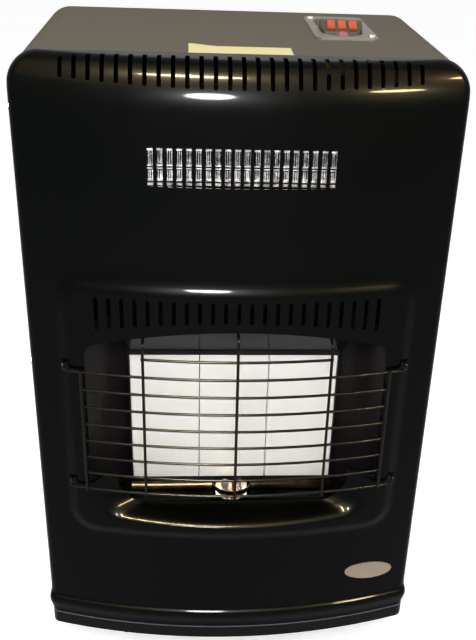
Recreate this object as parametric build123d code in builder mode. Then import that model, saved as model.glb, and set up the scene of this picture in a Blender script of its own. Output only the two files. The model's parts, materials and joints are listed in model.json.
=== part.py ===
from build123d import *
import os
from math import asin, cos, degrees, pi, radians, sin, sqrt

os.makedirs("parts", exist_ok=True)

# Portable gas cabinet heater. Millimetres, +Z up, +X to the right of someone facing it,
# -Y towards them. The floor is z = 0 and the origin is the middle of the heater's footprint.

# ------------------------------------------------------------------ cabinet, driving sizes
width = 420.0              # over the front panel's side flanges
panel_height = 640.0       # front panel, bottom edge to top
panel_bottom = 70.0        # front panel's bottom edge above the floor
bow = 33.2                 # how far the front panel bows out at its middle
flange_depth = 18.0        # how far the front panel's edge wraps back
cabinet_depth = 283.0      # panel's side edges to the cabinet's back edge
door_bulge = 122.0         # how far the rear door stands out round the gas cylinder
sheet = 1.2                # pressed front panel
thin_sheet = 1.0           # cabinet wrap, door and inner sheets
lap_gap = 0.15             # between two lapped sheets
running_gap = 0.05         # radial clearance of a pin or spindle in its hole

roll_height = 28.0         # rolled top edge, measured up
roll_depth = 24.0          # the same roll, measured back
edge_radius = 10.0         # rounded front corners, in plan
corner_flats = 4           # flats that a rounded corner is drawn with
bead = 2.5                 # rounded bead along the bottom of the panel
bead_low, bead_high = 6.0, 34.0

# ------------------------------------------------------------------ radiant opening
emboss = 4.5               # raised surround
emboss_margin = 30.0       # from the panel's side to the surround
emboss_low, emboss_high = 130.0, 429.0
emboss_corner = 30.0
emboss_slope = 9.0
opening_margin = 27.0      # from the surround's outer edge to the opening
opening_low = 205.0        # where the straight sides end
opening_side_high = 363.0
opening_high = 386.5       # top of the arch
opening_corner = 16.0
sill_margin = 27.0         # from the opening's side to the scoop's inner edge
sill_low, sill_corner = 161.0, 30.0
sill_depth = -8.0          # the inner edge's place in depth
lip_spread = 34.0          # the scoop carried out to the lip plane, past the surround's side
lip_low, lip_corner = 145.0, 60.0
lip_depth = -50.0
sill_sag = 3.5

# ------------------------------------------------------------------ air slots
slot_width = 4.0
top_slot_count, top_slot_pitch = 27, 12.36
top_slot_low, top_slot_arch = 617.5, 7.0
brow_slot_count, brow_slot_pitch = 23, 12.6
brow_slot_high, brow_slot_low, brow_slot_arch = 418.0, 396.0, 16.0
outlet_count, outlet_pitch, outlet_bar = 20, 8.75, 3.4
outlet_low, outlet_high = 530.5, 567.0

# ------------------------------------------------------------------ wire guard
guard_wire = 1.5           # radius
guard_gap = 2.5            # between the raised surround and the wires
guard_rows, guard_pitch, guard_top = 9, 20.23, 356.0
guard_post = 94.0          # outer posts, from the middle
guard_side_margin = 4.0    # side posts, past the opening's side
guard_hook_margin = 5.0    # hooked ends, inside the surround's side
guard_hook_rise = 7.0
guard_seat = 0.1           # between a post and the wires behind it, before welding
guard_hook_hole = 2.0      # half the square hole
guard_flats = 10           # flats that a bowed wire is drawn with

# ------------------------------------------------------------------ burner
plaque_width, plaque_height, plaque_thick, plaque_pitch = 74.0, 158.0, 13.0, 75.0
plaque_low, plaque_face = 166.5, 35.0
plenum_depth = 30.0
frame_lip = 8.0
hood_rise, hood_reach = 46.0, 50.0
cup_radius, cup_depth, cup_flats = 23.0, 11.0, 20

# ------------------------------------------------------------------ fan heater
rotor_radius, rotor_length = 22.0, 176.0
rotor_y, rotor_z = 38.0, 548.0
element_front, element_depth = -20.0, 16.0
element_half = 90.0

# ------------------------------------------------------------------ controls on the top
bezel_width, bezel_length, bezel_corner, bezel_thick = 64.0, 136.0, 9.0, 2.4
bezel_inset, bezel_y = 101.0, 175.0     # its middle, from the right-hand side and the front
well_width, well_length = 43.0, 112.0
well_shift = -2.5          # well's middle from the bezel's
knob_radius, knob_height, knob_y, knob_flats = 17.5, 15.0, 206.0, 24
knob_press = 4.0
rocker_width, rocker_pitch, rocker_length = 7.8, 11.2, 12.0
rocker_tilt = 38.0

# ------------------------------------------------------------------ castors
wheel_radius, wheel_width = 25.0, 19.0
wheel_flats = 24
castor_trail = 16.0
castor_inset, front_castor_y, rear_castor_y = 88.5, 30.0, 345.0
castor_turn = 25.0         # how the castors stand at rest

# ------------------------------------------------------------------ rear
bulge_inset = 34.0         # from the cabinet's side to the bulge
bulge_top_drop = 34.0      # how far the bulge's top slopes down to the rear
bulge_taper = 14.0         # how much narrower the bulge is at the rear, each side
bulge_round = 28.0         # its rounded corners
door_gap = 0.6
hinge_pin = 2.5            # radius
hinge_low, hinge_high, hinge_length = 90.0, 520.0, 34.0

# ------------------------------------------------------------------ screws
screw_shank, screw_head, screw_rise = 1.6, 3.6, 1.3
screw_hole = 1.9
side_screw_heights = [70.0, 330.0, 590.0]
side_screw_inset = 4.5     # ahead of the seam
base_screw_depth, base_screw_height = 150.0, 6.0

# ------------------------------------------------------------------ worked out
wire_reach = emboss + guard_gap + guard_wire           # guard's wire line ahead of the bow
guard_flat = guard_wire * cos(pi / 6)                  # a wire is drawn six-sided
front_reach = bow + wire_reach + 3 * guard_flat + guard_seat
rear_reach = cabinet_depth + door_gap + thin_sheet + door_bulge
face_y = (front_reach - rear_reach) / 2                # plane of the panel's side edges
seam_y = face_y + flange_depth
back_y = face_y + cabinet_depth
top_z = panel_bottom + panel_height
bow_radius = (width**2 / 4 + bow**2) / (2 * bow)
bow_centre = face_y - bow + bow_radius
half = width / 2
side_screw_y = seam_y - side_screw_inset
emboss_half = half - emboss_margin
opening_half = emboss_half - opening_margin
sill_half = opening_half - sill_margin
lip_half = emboss_half + lip_spread
guard_side = opening_half + guard_side_margin
guard_hook = emboss_half - guard_hook_margin
bezel_x = half - bezel_inset
well_x = bezel_x + well_shift
castor_x = half - castor_inset
bulge_half = half - bulge_inset


def up(z):
    """Height above the floor of a height given above the panel's bottom edge."""
    return panel_bottom + z


def deep(y):
    """Y of a depth measured from the plane of the panel's side edges."""
    return face_y + y


def save(builder, name):
    builder.part.label = name
    export_step(builder.part, f"parts/{name}.step")


def turn_points(x, y, radius, start, end):
    """Points round a corner, from one angle to another."""
    angles = [start + (end - start) * n / corner_flats for n in range(corner_flats + 1)]
    return [(x + radius * cos(a), y + radius * sin(a)) for a in angles]


def mirrored(points):
    return [(-x, y) for x, y in reversed(points)]


def plan_section(z, side, front, back):
    """Horizontal section: straight sides, bowed front, rounded front corners."""
    reach = bow_radius - front
    x = half - side - edge_radius
    y = bow_centre - sqrt((reach - edge_radius) ** 2 - x**2)
    corner = turn_points(x, y, edge_radius, asin(x / (reach - edge_radius)) - pi / 2, 0)
    with BuildSketch(Plane.XY.offset(z)) as section:
        with BuildLine():
            ThreePointArc(mirrored(corner)[-1], (0, bow_centre - reach), corner[0])
            Polyline(*corner, (half - side, back), (side - half, back), *mirrored(corner))
        make_face()
    return section.sketch


def arch(span, sag, x):
    """Height of a shallow arch at x, measured down from its crown."""
    return sag * (x / span) ** 2


# ================================================================== front panel
panel_back = seam_y + 40   # the forms run past the seam and are trimmed there
bead_shape = ((0, 0), (bead_low, 0), (13, 0.65), (20, 1), (27, 0.65), (bead_high, 0))
bead_end = bead_high + 6
roll_steps = 5


def panel_body(wall):
    """Solid form of the panel, its faces taken in by one wall."""
    roll_z = panel_height - roll_height
    rise, run = roll_height - wall, roll_depth - wall
    bead_levels = [(z, wall - bead * share) for z, share in (*bead_shape, (bead_end, 0))]
    turns = [radians(90 * step / roll_steps) for step in range(roll_steps + 1)]
    with BuildPart() as body:
        loft(sections=[plan_section(up(z), inset, inset, panel_back) for z, inset in bead_levels],
             ruled=True)
        extrude(plan_section(up(bead_end), wall, wall, panel_back), amount=roll_z - bead_end)
        loft(sections=[
            plan_section(up(roll_z) + rise * sin(t), wall + rise * (1 - cos(t)),
                         wall + run * (1 - cos(t)), panel_back)
            for t in turns
        ], ruled=True)
    return body.part


def surround(wall):
    """Raised surround of the opening, with sloped edges."""
    middle = up((emboss_low + emboss_high) / 2)
    tall = emboss_high - emboss_low
    with BuildPart() as raised:
        x, z = emboss_half - wall / 2 - emboss_corner, (tall - wall) / 2 - emboss_corner
        quarter = turn_points(x, z, emboss_corner, 0, pi / 2)
        upper = quarter + mirrored(quarter)
        with BuildSketch(Plane.XZ.offset(-face_y)):
            with Locations((0, middle)):
                Polygon(*upper, *[(-px, -pz) for px, pz in upper], align=None)
        extrude(amount=2 * bow)
        with Locations((0, bow_centre, middle)):
            Cylinder(bow_radius + emboss - wall, 2 * tall, mode=Mode.INTERSECT)
        front = raised.faces().sort_by(Axis.Y)[0]
        chamfer(front.edges(), length=emboss - 0.3, length2=emboss_slope, reference=front)
    return raised.part


def scoop_outline(depth, half_width, low, radius):
    """U-shaped outline of the scoop under the opening, in a plane facing forward."""
    high = up(opening_low + 30)
    x = half_width - radius
    z = up(low) + sill_sag * (x / half_width) ** 2 + radius
    corner = turn_points(x, z, radius, -pi / 2, 0)
    with BuildSketch(Plane.XZ.offset(-deep(depth))) as outline:
        with BuildLine():
            ThreePointArc(mirrored(corner)[-1], (0, up(low)), corner[0])
            Polyline(*corner, (half_width, high), (-half_width, high), *mirrored(corner))
        make_face()
    return outline.sketch


def scoop(wall):
    """Hollow pressed in under the opening, grown by one wall."""
    with BuildPart() as hollow:
        loft(sections=[
            scoop_outline(lip_depth, lip_half + wall, lip_low - wall, lip_corner + wall),
            scoop_outline(sill_depth + wall, sill_half + wall, sill_low - wall, sill_corner + wall),
        ], ruled=True)
    return hollow.part


panel_outside = panel_body(0)
panel_inside = panel_body(sheet)
surround_outside = surround(0)
surround_inside = surround(sheet)
scoop_outside = scoop(0)
scoop_inside = scoop(sheet)

with BuildPart() as inner_form:
    add(panel_inside)
    add(surround_inside)
    add(scoop_inside, mode=Mode.SUBTRACT)

with BuildPart() as front_panel:
    add(panel_outside)
    add(surround_outside)
    add(scoop_outside, mode=Mode.SUBTRACT)
    add(inner_form.part, mode=Mode.SUBTRACT)
    # the panel ends at the seam with the cabinet wrap
    with BuildSketch(Plane.XZ.offset(-seam_y)):
        Rectangle(2 * width, 3 * top_z)
    extrude(amount=-100, mode=Mode.SUBTRACT)
    # radiant opening: arched top, straight sides, and the scoop's inner edge below
    with BuildSketch(Plane.XZ.offset(-seam_y)) as opening:
        with BuildLine():
            ThreePointArc((-opening_half, up(opening_side_high)), (0, up(opening_high)),
                          (opening_half, up(opening_side_high)))
            Polyline((opening_half, up(opening_side_high)), (opening_half, up(opening_low)),
                     (-opening_half, up(opening_low)), (-opening_half, up(opening_side_high)))
        make_face()
        fillet(opening.vertices().group_by(Axis.Y)[-1], opening_corner)
    extrude(amount=flange_depth + 2 * bow, mode=Mode.SUBTRACT)
    extrude(scoop_outline(flange_depth, sill_half, sill_low, sill_corner),
            amount=flange_depth - sill_depth + 2, mode=Mode.SUBTRACT)
    # slots over the rolled top edge
    with BuildSketch(Plane.XZ.offset(-face_y)):
        for n in range(top_slot_count):
            x = (n - (top_slot_count - 1) / 2) * top_slot_pitch
            low = top_slot_low + arch(half, top_slot_arch, x)
            with Locations((x, up((low + panel_height) / 2 + slot_width))):
                Rectangle(slot_width, panel_height - low + 2 * slot_width)
    extrude(amount=2 * bow, mode=Mode.SUBTRACT)
    # slots above the opening
    with BuildSketch(Plane.XZ.offset(-seam_y)):
        for n in range(brow_slot_count):
            x = (n - (brow_slot_count - 1) / 2) * brow_slot_pitch
            low = brow_slot_low - arch(opening_half, brow_slot_arch, x)
            with Locations((x, up((low + brow_slot_high) / 2))):
                Rectangle(slot_width, brow_slot_high - low)
    extrude(amount=flange_depth + 2 * bow, mode=Mode.SUBTRACT)
    # warm air outlet
    with BuildSketch(Plane.XZ.offset(-seam_y)):
        with Locations((0, up((outlet_low + outlet_high) / 2))):
            with GridLocations(outlet_pitch, 1, outlet_count, 1):
                Rectangle(outlet_pitch - outlet_bar, outlet_high - outlet_low)
    extrude(amount=flange_depth + 2 * bow, mode=Mode.SUBTRACT)
    # holes for the guard's four hooks
    with BuildSketch(Plane.XZ.offset(-seam_y)):
        for row in (1, guard_rows - 1):
            z = up(guard_top - row * guard_pitch + guard_hook_rise)
            with Locations((-guard_hook, z), (guard_hook, z)):
                Rectangle(2 * guard_hook_hole, 2 * guard_hook_hole)
    extrude(amount=flange_depth + 2 * bow, mode=Mode.SUBTRACT)
    # holes for the screws through the side flanges
    with BuildSketch(Plane.YZ.offset(-width)):
        with Locations(*[(side_screw_y, up(z)) for z in side_screw_heights]):
            RegularPolygon(screw_hole, 6)
    extrude(amount=2 * width, mode=Mode.SUBTRACT)
save(front_panel, "front_panel")

# ================================================================== wire guard
guard_radius = bow_radius + wire_reach                 # horizontal wires
post_radius = guard_radius + 2 * guard_flat + guard_seat


def on_arc(x, radius):
    """Plan point on a wire's arc."""
    return x, bow_centre - sqrt(radius**2 - x**2)


def row_z(row):
    return up(guard_top - row * guard_pitch)


def bowed_wire(reach, z):
    """Horizontal wire that follows the bow to `reach` on both sides."""
    end = asin(reach / guard_radius)
    sections = []
    for n in range(guard_flats + 1):
        a = end * (2 * n / guard_flats - 1)
        place = (guard_radius * sin(a), bow_centre - guard_radius * cos(a), z)
        with BuildSketch(Plane(origin=place, x_dir=(0, 0, 1), z_dir=(cos(a), sin(a), 0))) as section:
            RegularPolygon(guard_wire, 6)
        sections.append(section.sketch)
    with BuildPart() as wire:
        loft(sections=sections, ruled=True)
    return wire.part


def bar(start, end, radius, sides=6):
    """Straight piece of wire between two points, drawn with flat sides."""
    a, b = Vector(*start), Vector(*end)
    with BuildPart() as rod:
        with BuildSketch(Plane(origin=a, z_dir=b - a)):
            RegularPolygon(radius, sides)
        extrude(amount=(b - a).length)
    return rod.part


def post(x, low, high):
    """Upright wire in front of the bowed ones, one of its flats against them."""
    a = asin(x / post_radius)
    with BuildPart() as rod:
        with BuildSketch(Plane(origin=(*on_arc(x, post_radius), low), x_dir=(cos(a), sin(a), 0),
                               z_dir=(0, 0, 1))):
            RegularPolygon(guard_wire, 6)
        extrude(amount=high - low)
    return rod.part


wire_tail = guard_wire + 0.5   # a wire's end past the post that it is welded to
short_row, side_row = guard_post + wire_tail, guard_side + wire_tail
row_half = [short_row] + [guard_hook] + [side_row] * (guard_rows - 3) + [guard_hook]
post_top = up(opening_high - 4.5)
hook_inside = 9.0          # how far the hooks and post ends reach behind the panel's face

with BuildPart() as wire_guard:
    for row, reach in enumerate(row_half):
        add(bowed_wire(reach, row_z(row)))
    # upright posts behind the top edge of the opening
    for x in (-guard_post, 0, guard_post):
        px, py = on_arc(x, post_radius)
        top = post_top - arch(opening_half, opening_high - opening_side_high, x)
        add(post(x, row_z(guard_rows - 1) - wire_tail, top + guard_wire))
        add(bar((px, py, top), (px, py + 2 * hook_inside, top), guard_wire))
    for x in (-guard_side, guard_side):
        add(post(x, row_z(guard_rows - 1) - wire_tail, row_z(1) + wire_tail))
    # hooked ends, up and in through the panel
    for row in (1, guard_rows - 1):
        for x in (-guard_hook, guard_hook):
            px, py = on_arc(x, guard_radius)
            z = row_z(row)
            add(bar((px, py, z - guard_wire), (px, py, z + guard_hook_rise + guard_wire), guard_wire))
            add(bar((px, py, z + guard_hook_rise),
                    (px, py + wire_reach + hook_inside, z + guard_hook_rise), guard_wire))
save(wire_guard, "wire_guard")


# ================================================================== base
plinth_height, plinth_wall = 18.0, 2.0
tail_short = 4.0           # the base's tail stops this far inside the door's bulge
base_rim = 12.0
stem_radius, stem_hole = 4.0, 4.5
base_back = back_y + door_gap + thin_sheet + door_bulge - tail_short
tail_half = bulge_half - tail_short
castor_places = {
    "front_left": (-castor_x, deep(front_castor_y)), "front_right": (castor_x, deep(front_castor_y)),
    "rear_left": (-castor_x, deep(rear_castor_y)), "rear_right": (castor_x, deep(rear_castor_y)),
}


def base_section(z, inset):
    """Plan of the base: the panel's outline, then a narrower tail under the rear door."""
    front = plan_section(z, inset, inset, back_y - inset)
    wide, rear, ahead = tail_half - inset, base_back - inset, back_y - 2 * edge_radius
    with BuildSketch(Plane.XY.offset(z)) as tail:
        with BuildLine():
            Polyline((-wide, ahead), (-wide, back_y), (bulge_taper - wide, rear), (wide - bulge_taper, rear),
                     (wide, back_y), (wide, ahead), close=True)
        make_face()
        fillet(tail.vertices().group_by(Axis.Y)[-1], bulge_round - inset)
        add(front)
    return tail.sketch


with BuildPart() as plinth:
    extrude(base_section(panel_bottom - plinth_height, 0), amount=plinth_height)
    chamfer(plinth.faces().sort_by(Axis.Z)[0].edges(), plinth_wall)
    extrude(base_section(panel_bottom - plinth_height, 2 * plinth_wall),
            amount=plinth_height - plinth_wall, mode=Mode.SUBTRACT)
    for x, y in castor_places.values():
        with BuildSketch(Plane.XY.offset(panel_bottom)):
            with Locations((x, y)):
                RegularPolygon(stem_hole, 8)
        extrude(amount=-2 * plinth_wall, mode=Mode.SUBTRACT)
save(plinth, "plinth")

pan_inset = sheet + thin_sheet + 2 * lap_gap           # inside the panel and the wrap
platform_radius, platform_rise, platform_y, platform_flats = 140.0, 2.5, 240.0, 24
with BuildPart() as base_pan:
    extrude(base_section(panel_bottom, pan_inset), amount=base_rim)
    extrude(base_section(panel_bottom + thin_sheet, pan_inset + thin_sheet),
            amount=base_rim, mode=Mode.SUBTRACT)
    for x, y in castor_places.values():
        with BuildSketch(Plane.XY.offset(panel_bottom)):
            with Locations((x, y)):
                RegularPolygon(stem_hole, 8)
        extrude(amount=2 * thin_sheet, mode=Mode.SUBTRACT)
    # platform pressed up for the gas cylinder's foot ring
    for low, radius, mode in (
        (panel_bottom + thin_sheet, platform_radius, Mode.ADD),
        (panel_bottom, platform_radius - thin_sheet, Mode.SUBTRACT),
    ):
        with BuildSketch(Plane.XY.offset(low)):
            with Locations((0, deep(platform_y))):
                RegularPolygon(radius, platform_flats)
        extrude(amount=platform_rise, mode=mode)
    with BuildSketch(Plane.YZ.offset(-width)):
        with Locations((deep(base_screw_depth), up(base_screw_height))):
            RegularPolygon(screw_hole, 6)
    extrude(amount=2 * width, mode=Mode.SUBTRACT)
save(base_pan, "base_pan")

# ================================================================== cabinet wrap
wrap_half = half - sheet - lap_gap
wrap_top = top_z - sheet - lap_gap
wrap_corner = roll_height - sheet - lap_gap
side_lap = 9.0             # the wrap's sides reach forward inside the panel's flanges
rear_flange = 13.0
gland_y, gland_z, gland_radius = 250.0, 34.0, 7.0
well_margin = 3.0
slot_y = deep(bezel_y)
screw_places = [(bezel_x + 25.5, slot_y - 55), (bezel_x - 25.5, slot_y + 55)]


def wrap_section(y, inset, low=0.0):
    """Elevation of the cabinet: straight sides and two rounded top corners."""
    tall = wrap_top - inset - panel_bottom - low
    with BuildSketch(Plane.XZ.offset(-y)) as section:
        with Locations((0, panel_bottom + low + tall / 2)):
            Rectangle(2 * (wrap_half - inset), tall)
        fillet(section.vertices().group_by(Axis.Y)[-1], max(wrap_corner - inset, 3))
    return section.sketch


wrap_front = seam_y - side_lap
with BuildPart() as cabinet_wrap:
    extrude(wrap_section(wrap_front, 0), amount=wrap_front - back_y)
    extrude(wrap_section(wrap_front, thin_sheet, -thin_sheet), amount=wrap_front - back_y - thin_sheet,
            mode=Mode.SUBTRACT)
    # cut back to the seam where the panel's edge rolls over
    with BuildSketch(Plane.XZ.offset(-wrap_front)):
        with Locations((0, top_z)):
            Rectangle(width, 2 * (roll_height + thin_sheet))
    extrude(amount=-side_lap - lap_gap, mode=Mode.SUBTRACT)
    with BuildSketch(Plane.XY.offset(top_z)):
        with Locations((well_x, deep(bezel_y))):
            Rectangle(well_width + 2 * well_margin, well_length + 2 * well_margin)
        with Locations(*screw_places):
            RegularPolygon(screw_hole, 6)
    extrude(amount=-roll_height, mode=Mode.SUBTRACT)
    with BuildSketch(Plane.YZ.offset(wrap_half)):
        with Locations((deep(gland_y), up(gland_z))):
            RegularPolygon(gland_radius, 6)
    extrude(amount=-2 * thin_sheet, mode=Mode.SUBTRACT)
    with BuildSketch(Plane.YZ.offset(-width)):
        with Locations(*[(side_screw_y, up(z)) for z in side_screw_heights],
                       (deep(base_screw_depth), up(base_screw_height))):
            RegularPolygon(screw_hole, 6)
    extrude(amount=2 * width, mode=Mode.SUBTRACT)
save(cabinet_wrap, "cabinet_wrap")

# flat frame inside the wrap's rear edge, which the door closes on and the latch's cam turns behind
with BuildPart() as rear_frame:
    extrude(wrap_section(back_y, thin_sheet + lap_gap), amount=thin_sheet)
    extrude(wrap_section(back_y, rear_flange, -rear_flange), amount=thin_sheet, mode=Mode.SUBTRACT)
save(rear_frame, "rear_frame")

# inlet for the mains lead of the fan heater, low on the right-hand side
gland_bore, gland_flange = 4.2, 3.0
with BuildPart() as mains_gland:
    with BuildSketch(Plane.YZ.offset(wrap_half)):
        with Locations((deep(gland_y), up(gland_z))):
            RegularPolygon(gland_radius + gland_flange, 6)
    extrude(amount=1.2)
    with BuildSketch(Plane.YZ.offset(wrap_half)):
        with Locations((deep(gland_y), up(gland_z))):
            RegularPolygon(gland_radius - lap_gap, 6)
    extrude(amount=-16)
    with BuildSketch(Plane.YZ.offset(wrap_half + 5)):
        with Locations((deep(gland_y), up(gland_z))):
            Circle(gland_bore)
    extrude(amount=-30, mode=Mode.SUBTRACT)
save(mains_gland, "mains_gland")

# ================================================================== bulkhead and deflector
shield_y, shield_top, shield_flange = 79.0, 598.0, 12.0
shield_half = wrap_half - thin_sheet - lap_gap
shield_low = panel_bottom + thin_sheet
with BuildPart() as heat_shield:
    with BuildSketch(Plane.XY.offset(shield_low)):
        with Locations((0, deep(shield_y + shield_flange / 2))):
            Rectangle(2 * (shield_half - thin_sheet), shield_flange)
            with Locations((0, thin_sheet)):
                Rectangle(2 * (shield_half - 2 * thin_sheet), shield_flange, mode=Mode.SUBTRACT)
    extrude(amount=up(shield_top) - shield_low)
save(heat_shield, "heat_shield")


def strip(points, thick, across, name):
    """Sheet bent along points (depth, height), as wide as twice `across`."""
    with BuildPart() as bent:
        with BuildSketch(Plane.YZ.offset(-across)):
            with BuildLine():
                Polyline(*[(deep(y), up(z)) for y, z in points])
            trace(line_width=thick)
        extrude(amount=2 * across)
    save(bent, name)


pipe_inset, pipe_clearance = 46.0, 6.0                 # gas pipe's upright run, from the side
pipe_x = half - pipe_inset
deflector_half = pipe_x - pipe_clearance
strip([(shield_y - thin_sheet / 2, 470), (shield_y - thin_sheet / 2, 452), (0, 436), (-8, 448)],
      thin_sheet, deflector_half, "top_deflector")

# ================================================================== burner
burner_half = 1.5 * plaque_pitch + 1.5
plenum_wall = 1.5
plaque_high = plaque_low + plaque_height
plenum_low, plenum_high = plaque_low - frame_lip, plaque_high + frame_lip
plenum_middle = up((plenum_low + plenum_high) / 2)
recess = plaque_thick + 0.5
venturi_y, venturi_drop, venturi_radius = 52.0, 26.0, 8.0
plenum_y = plaque_face - 0.5

with BuildPart() as burner_plenum:
    with BuildSketch(Plane.XZ.offset(-deep(plenum_y))):
        with Locations((0, plenum_middle)):
            Rectangle(2 * burner_half, plenum_high - plenum_low)
    extrude(amount=-plenum_depth)
    with BuildSketch(Plane.XZ.offset(-deep(plenum_y))):
        with Locations((0, up(plaque_low + plaque_height / 2))):
            Rectangle(3 * plaque_pitch + 0.4, plaque_height + 0.4)
    extrude(amount=-recess, mode=Mode.SUBTRACT)
    with BuildSketch(Plane.XZ.offset(-deep(plenum_y + recess))):
        with Locations((0, plenum_middle)):
            Rectangle(2 * (burner_half - frame_lip), plaque_height - frame_lip)
    extrude(amount=-(plenum_depth - recess - plenum_wall), mode=Mode.SUBTRACT)
    for n in (-1, 0, 1):
        with BuildSketch(Plane.XY.offset(up(plenum_low - venturi_drop))):
            with Locations((n * plaque_pitch, deep(venturi_y))):
                RegularPolygon(venturi_radius, 8)
                RegularPolygon(venturi_radius - plenum_wall, 8, mode=Mode.SUBTRACT)
        extrude(amount=venturi_drop)
        with BuildSketch(Plane.XY.offset(up(plenum_low - 1))):
            with Locations((n * plaque_pitch, deep(venturi_y))):
                RegularPolygon(venturi_radius - plenum_wall, 8)
        extrude(amount=3 * frame_lip, mode=Mode.SUBTRACT)
save(burner_plenum, "burner_plenum")

for n, side in ((-1, "left"), (0, "centre"), (1, "right")):
    with BuildPart() as plaque:
        with BuildSketch(Plane.XZ.offset(-deep(plaque_face))):
            with Locations((n * plaque_pitch, up(plaque_low + plaque_height / 2))):
                Rectangle(plaque_width, plaque_height)
        extrude(amount=-plaque_thick)
        chamfer(plaque.faces().sort_by(Axis.Y)[0].edges(), 0.8)
    save(plaque, f"plaque_{side}")

# polished reflectors round the plaques
reflector_sheet = 0.8
mouth_y = plenum_y - reflector_sheet
strip([(mouth_y, plenum_high - 2), (mouth_y - hood_reach, plenum_high - 2 + hood_rise)],
      reflector_sheet, burner_half - 0.3, "reflector_top")
cheek_out_x, cheek_out_y = opening_half + 2, -11.0
cheek_low, cheek_high = 165.0, 378.0
for side, name in ((-1, "reflector_left"), (1, "reflector_right")):
    with BuildPart() as cheek:
        with BuildSketch(Plane.XY.offset(up(cheek_low))):
            with BuildLine():
                start = (side * (burner_half + 0.4), deep(plenum_y + 4))
                ThreePointArc(start, (side * (burner_half + 20), deep(plenum_y - 16)),
                              (side * cheek_out_x, deep(cheek_out_y)))
            trace(line_width=reflector_sheet)
        extrude(amount=up(cheek_high) - up(cheek_low))
    save(cheek, name)

trough_low = 151.0
cup_y = plenum_y - 1.0
with BuildPart() as reflector_bottom:
    with BuildSketch(Plane.YZ.offset(-burner_half)):
        with BuildLine():
            ThreePointArc((deep(sill_depth + 1.4), up(sill_low - 1.2)), (deep(14), up(trough_low)),
                          (deep(mouth_y), up(plenum_low + 3)))
        trace(line_width=reflector_sheet)
    extrude(amount=2 * burner_half)
    with BuildSketch(Plane.XY.offset(up(sill_low + 10))):
        with Locations((0, deep(cup_y))):
            RegularPolygon(cup_radius + lap_gap, cup_flats)
    extrude(amount=-40, mode=Mode.SUBTRACT)
save(reflector_bottom, "reflector_bottom")

# half-round cup that the pilot burner stands in
cup_top = plenum_low + 4.0
cup_steps = [(0.0, 0.0), (0.6 * cup_depth, 1.5), (cup_depth, 4.0)]   # down, and in


def cup_form(wall):
    """Tapering cup, its faces taken in by one wall."""
    sections = []
    for down, inward in cup_steps:
        with BuildSketch(Plane.XY.offset(up(cup_top - down))) as section:
            with Locations((0, deep(cup_y))):
                RegularPolygon(cup_radius - inward - wall, cup_flats)
        sections.append(section.sketch)
    with BuildPart() as form:
        loft(sections=sections, ruled=True)
    return form.part


with BuildPart() as pilot_cup:
    add(cup_form(0))
    add(cup_form(reflector_sheet), mode=Mode.SUBTRACT)
    # only the front half
    with BuildSketch(Plane.XZ.offset(-deep(cup_y))):
        with Locations((0, up(cup_top))):
            Rectangle(3 * cup_radius, 3 * cup_depth)
    extrude(amount=-2 * cup_radius, mode=Mode.SUBTRACT)
save(pilot_cup, "pilot_cup")

# ================================================================== pilot and gas line
manifold_z, manifold_radius = 112.0, 5.0
bracket_z, bracket_wide, bracket_front, bracket_back = 140.0, 36.0, 14.0, 42.0
pilot_places = [(-8, 24), (1, 22), (9, 24)]            # burner, thermocouple, electrode
with BuildPart() as pilot_bracket:
    with BuildSketch(Plane.XY.offset(up(bracket_z))):
        with Locations((0, deep((bracket_front + bracket_back) / 2))):
            Rectangle(bracket_wide, bracket_back - bracket_front)
        with Locations(*[(x, deep(y)) for x, y in pilot_places]):
            RegularPolygon(3.2, 6, mode=Mode.SUBTRACT)
    extrude(amount=thin_sheet)
    with BuildSketch(Plane.XY.offset(up(bracket_z))):
        with Locations((0, deep(bracket_back) - thin_sheet / 2)):
            Rectangle(bracket_wide, thin_sheet)
    extrude(amount=plenum_low - bracket_z)
    with BuildSketch(Plane.XY.offset(up(plenum_low))):
        with Locations((0, deep(bracket_back - 3))):
            Rectangle(bracket_wide, 6)
    extrude(amount=-thin_sheet)
save(pilot_bracket, "pilot_bracket")


def turned(x, y, steps, name, sides=8):
    """Stepped upright piece from (low, high, radius) steps, drawn with flat sides."""
    with BuildPart() as piece:
        for low, high, radius in steps:
            with BuildSketch(Plane.XY.offset(up(low))):
                with Locations((x, deep(y))):
                    RegularPolygon(radius, sides)
            extrude(amount=high - low)
    save(piece, name)


collar_z = bracket_z + thin_sheet
turned(*pilot_places[0], [(124, 160, 2.6), (160, 168, 4.2), (collar_z, collar_z + 3, 4.5)], "pilot_burner")
turned(*pilot_places[1], [(118, 150, 1.8), (150, 169, 1.3), (collar_z, collar_z + 3, 3.8)], "thermocouple")
turned(*pilot_places[2], [(122, 158, 2.6), (158, 170, 0.9), (collar_z, collar_z + 2, 3.8)], "spark_electrode")

manifold_left, manifold_right = -82.0, 84.0
with BuildPart() as injector_manifold:
    with BuildSketch(Plane.YZ.offset(manifold_left)):
        with Locations((deep(venturi_y), up(manifold_z))):
            RegularPolygon(manifold_radius, 8)
    extrude(amount=manifold_right - manifold_left)
    for n in (-1, 0, 1):
        with BuildSketch(Plane.XY.offset(up(manifold_z))):
            with Locations((n * plaque_pitch, deep(venturi_y))):
                RegularPolygon(4.5, 6)
        extrude(amount=14)
        with BuildSketch(Plane.XY.offset(up(manifold_z) + 14)):
            with Locations((n * plaque_pitch, deep(venturi_y))):
                RegularPolygon(3, 6)
        extrude(amount=plenum_low - venturi_drop - manifold_z - 14 + 4)
    # feet that carry it on the bulkhead
    for x in (-40, 40):
        with BuildSketch(Plane.XZ.offset(-deep(venturi_y))):
            with Locations((x, up(manifold_z))):
                Rectangle(8, 5)
        extrude(amount=-(shield_y - venturi_y))
save(injector_manifold, "injector_manifold")

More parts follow.
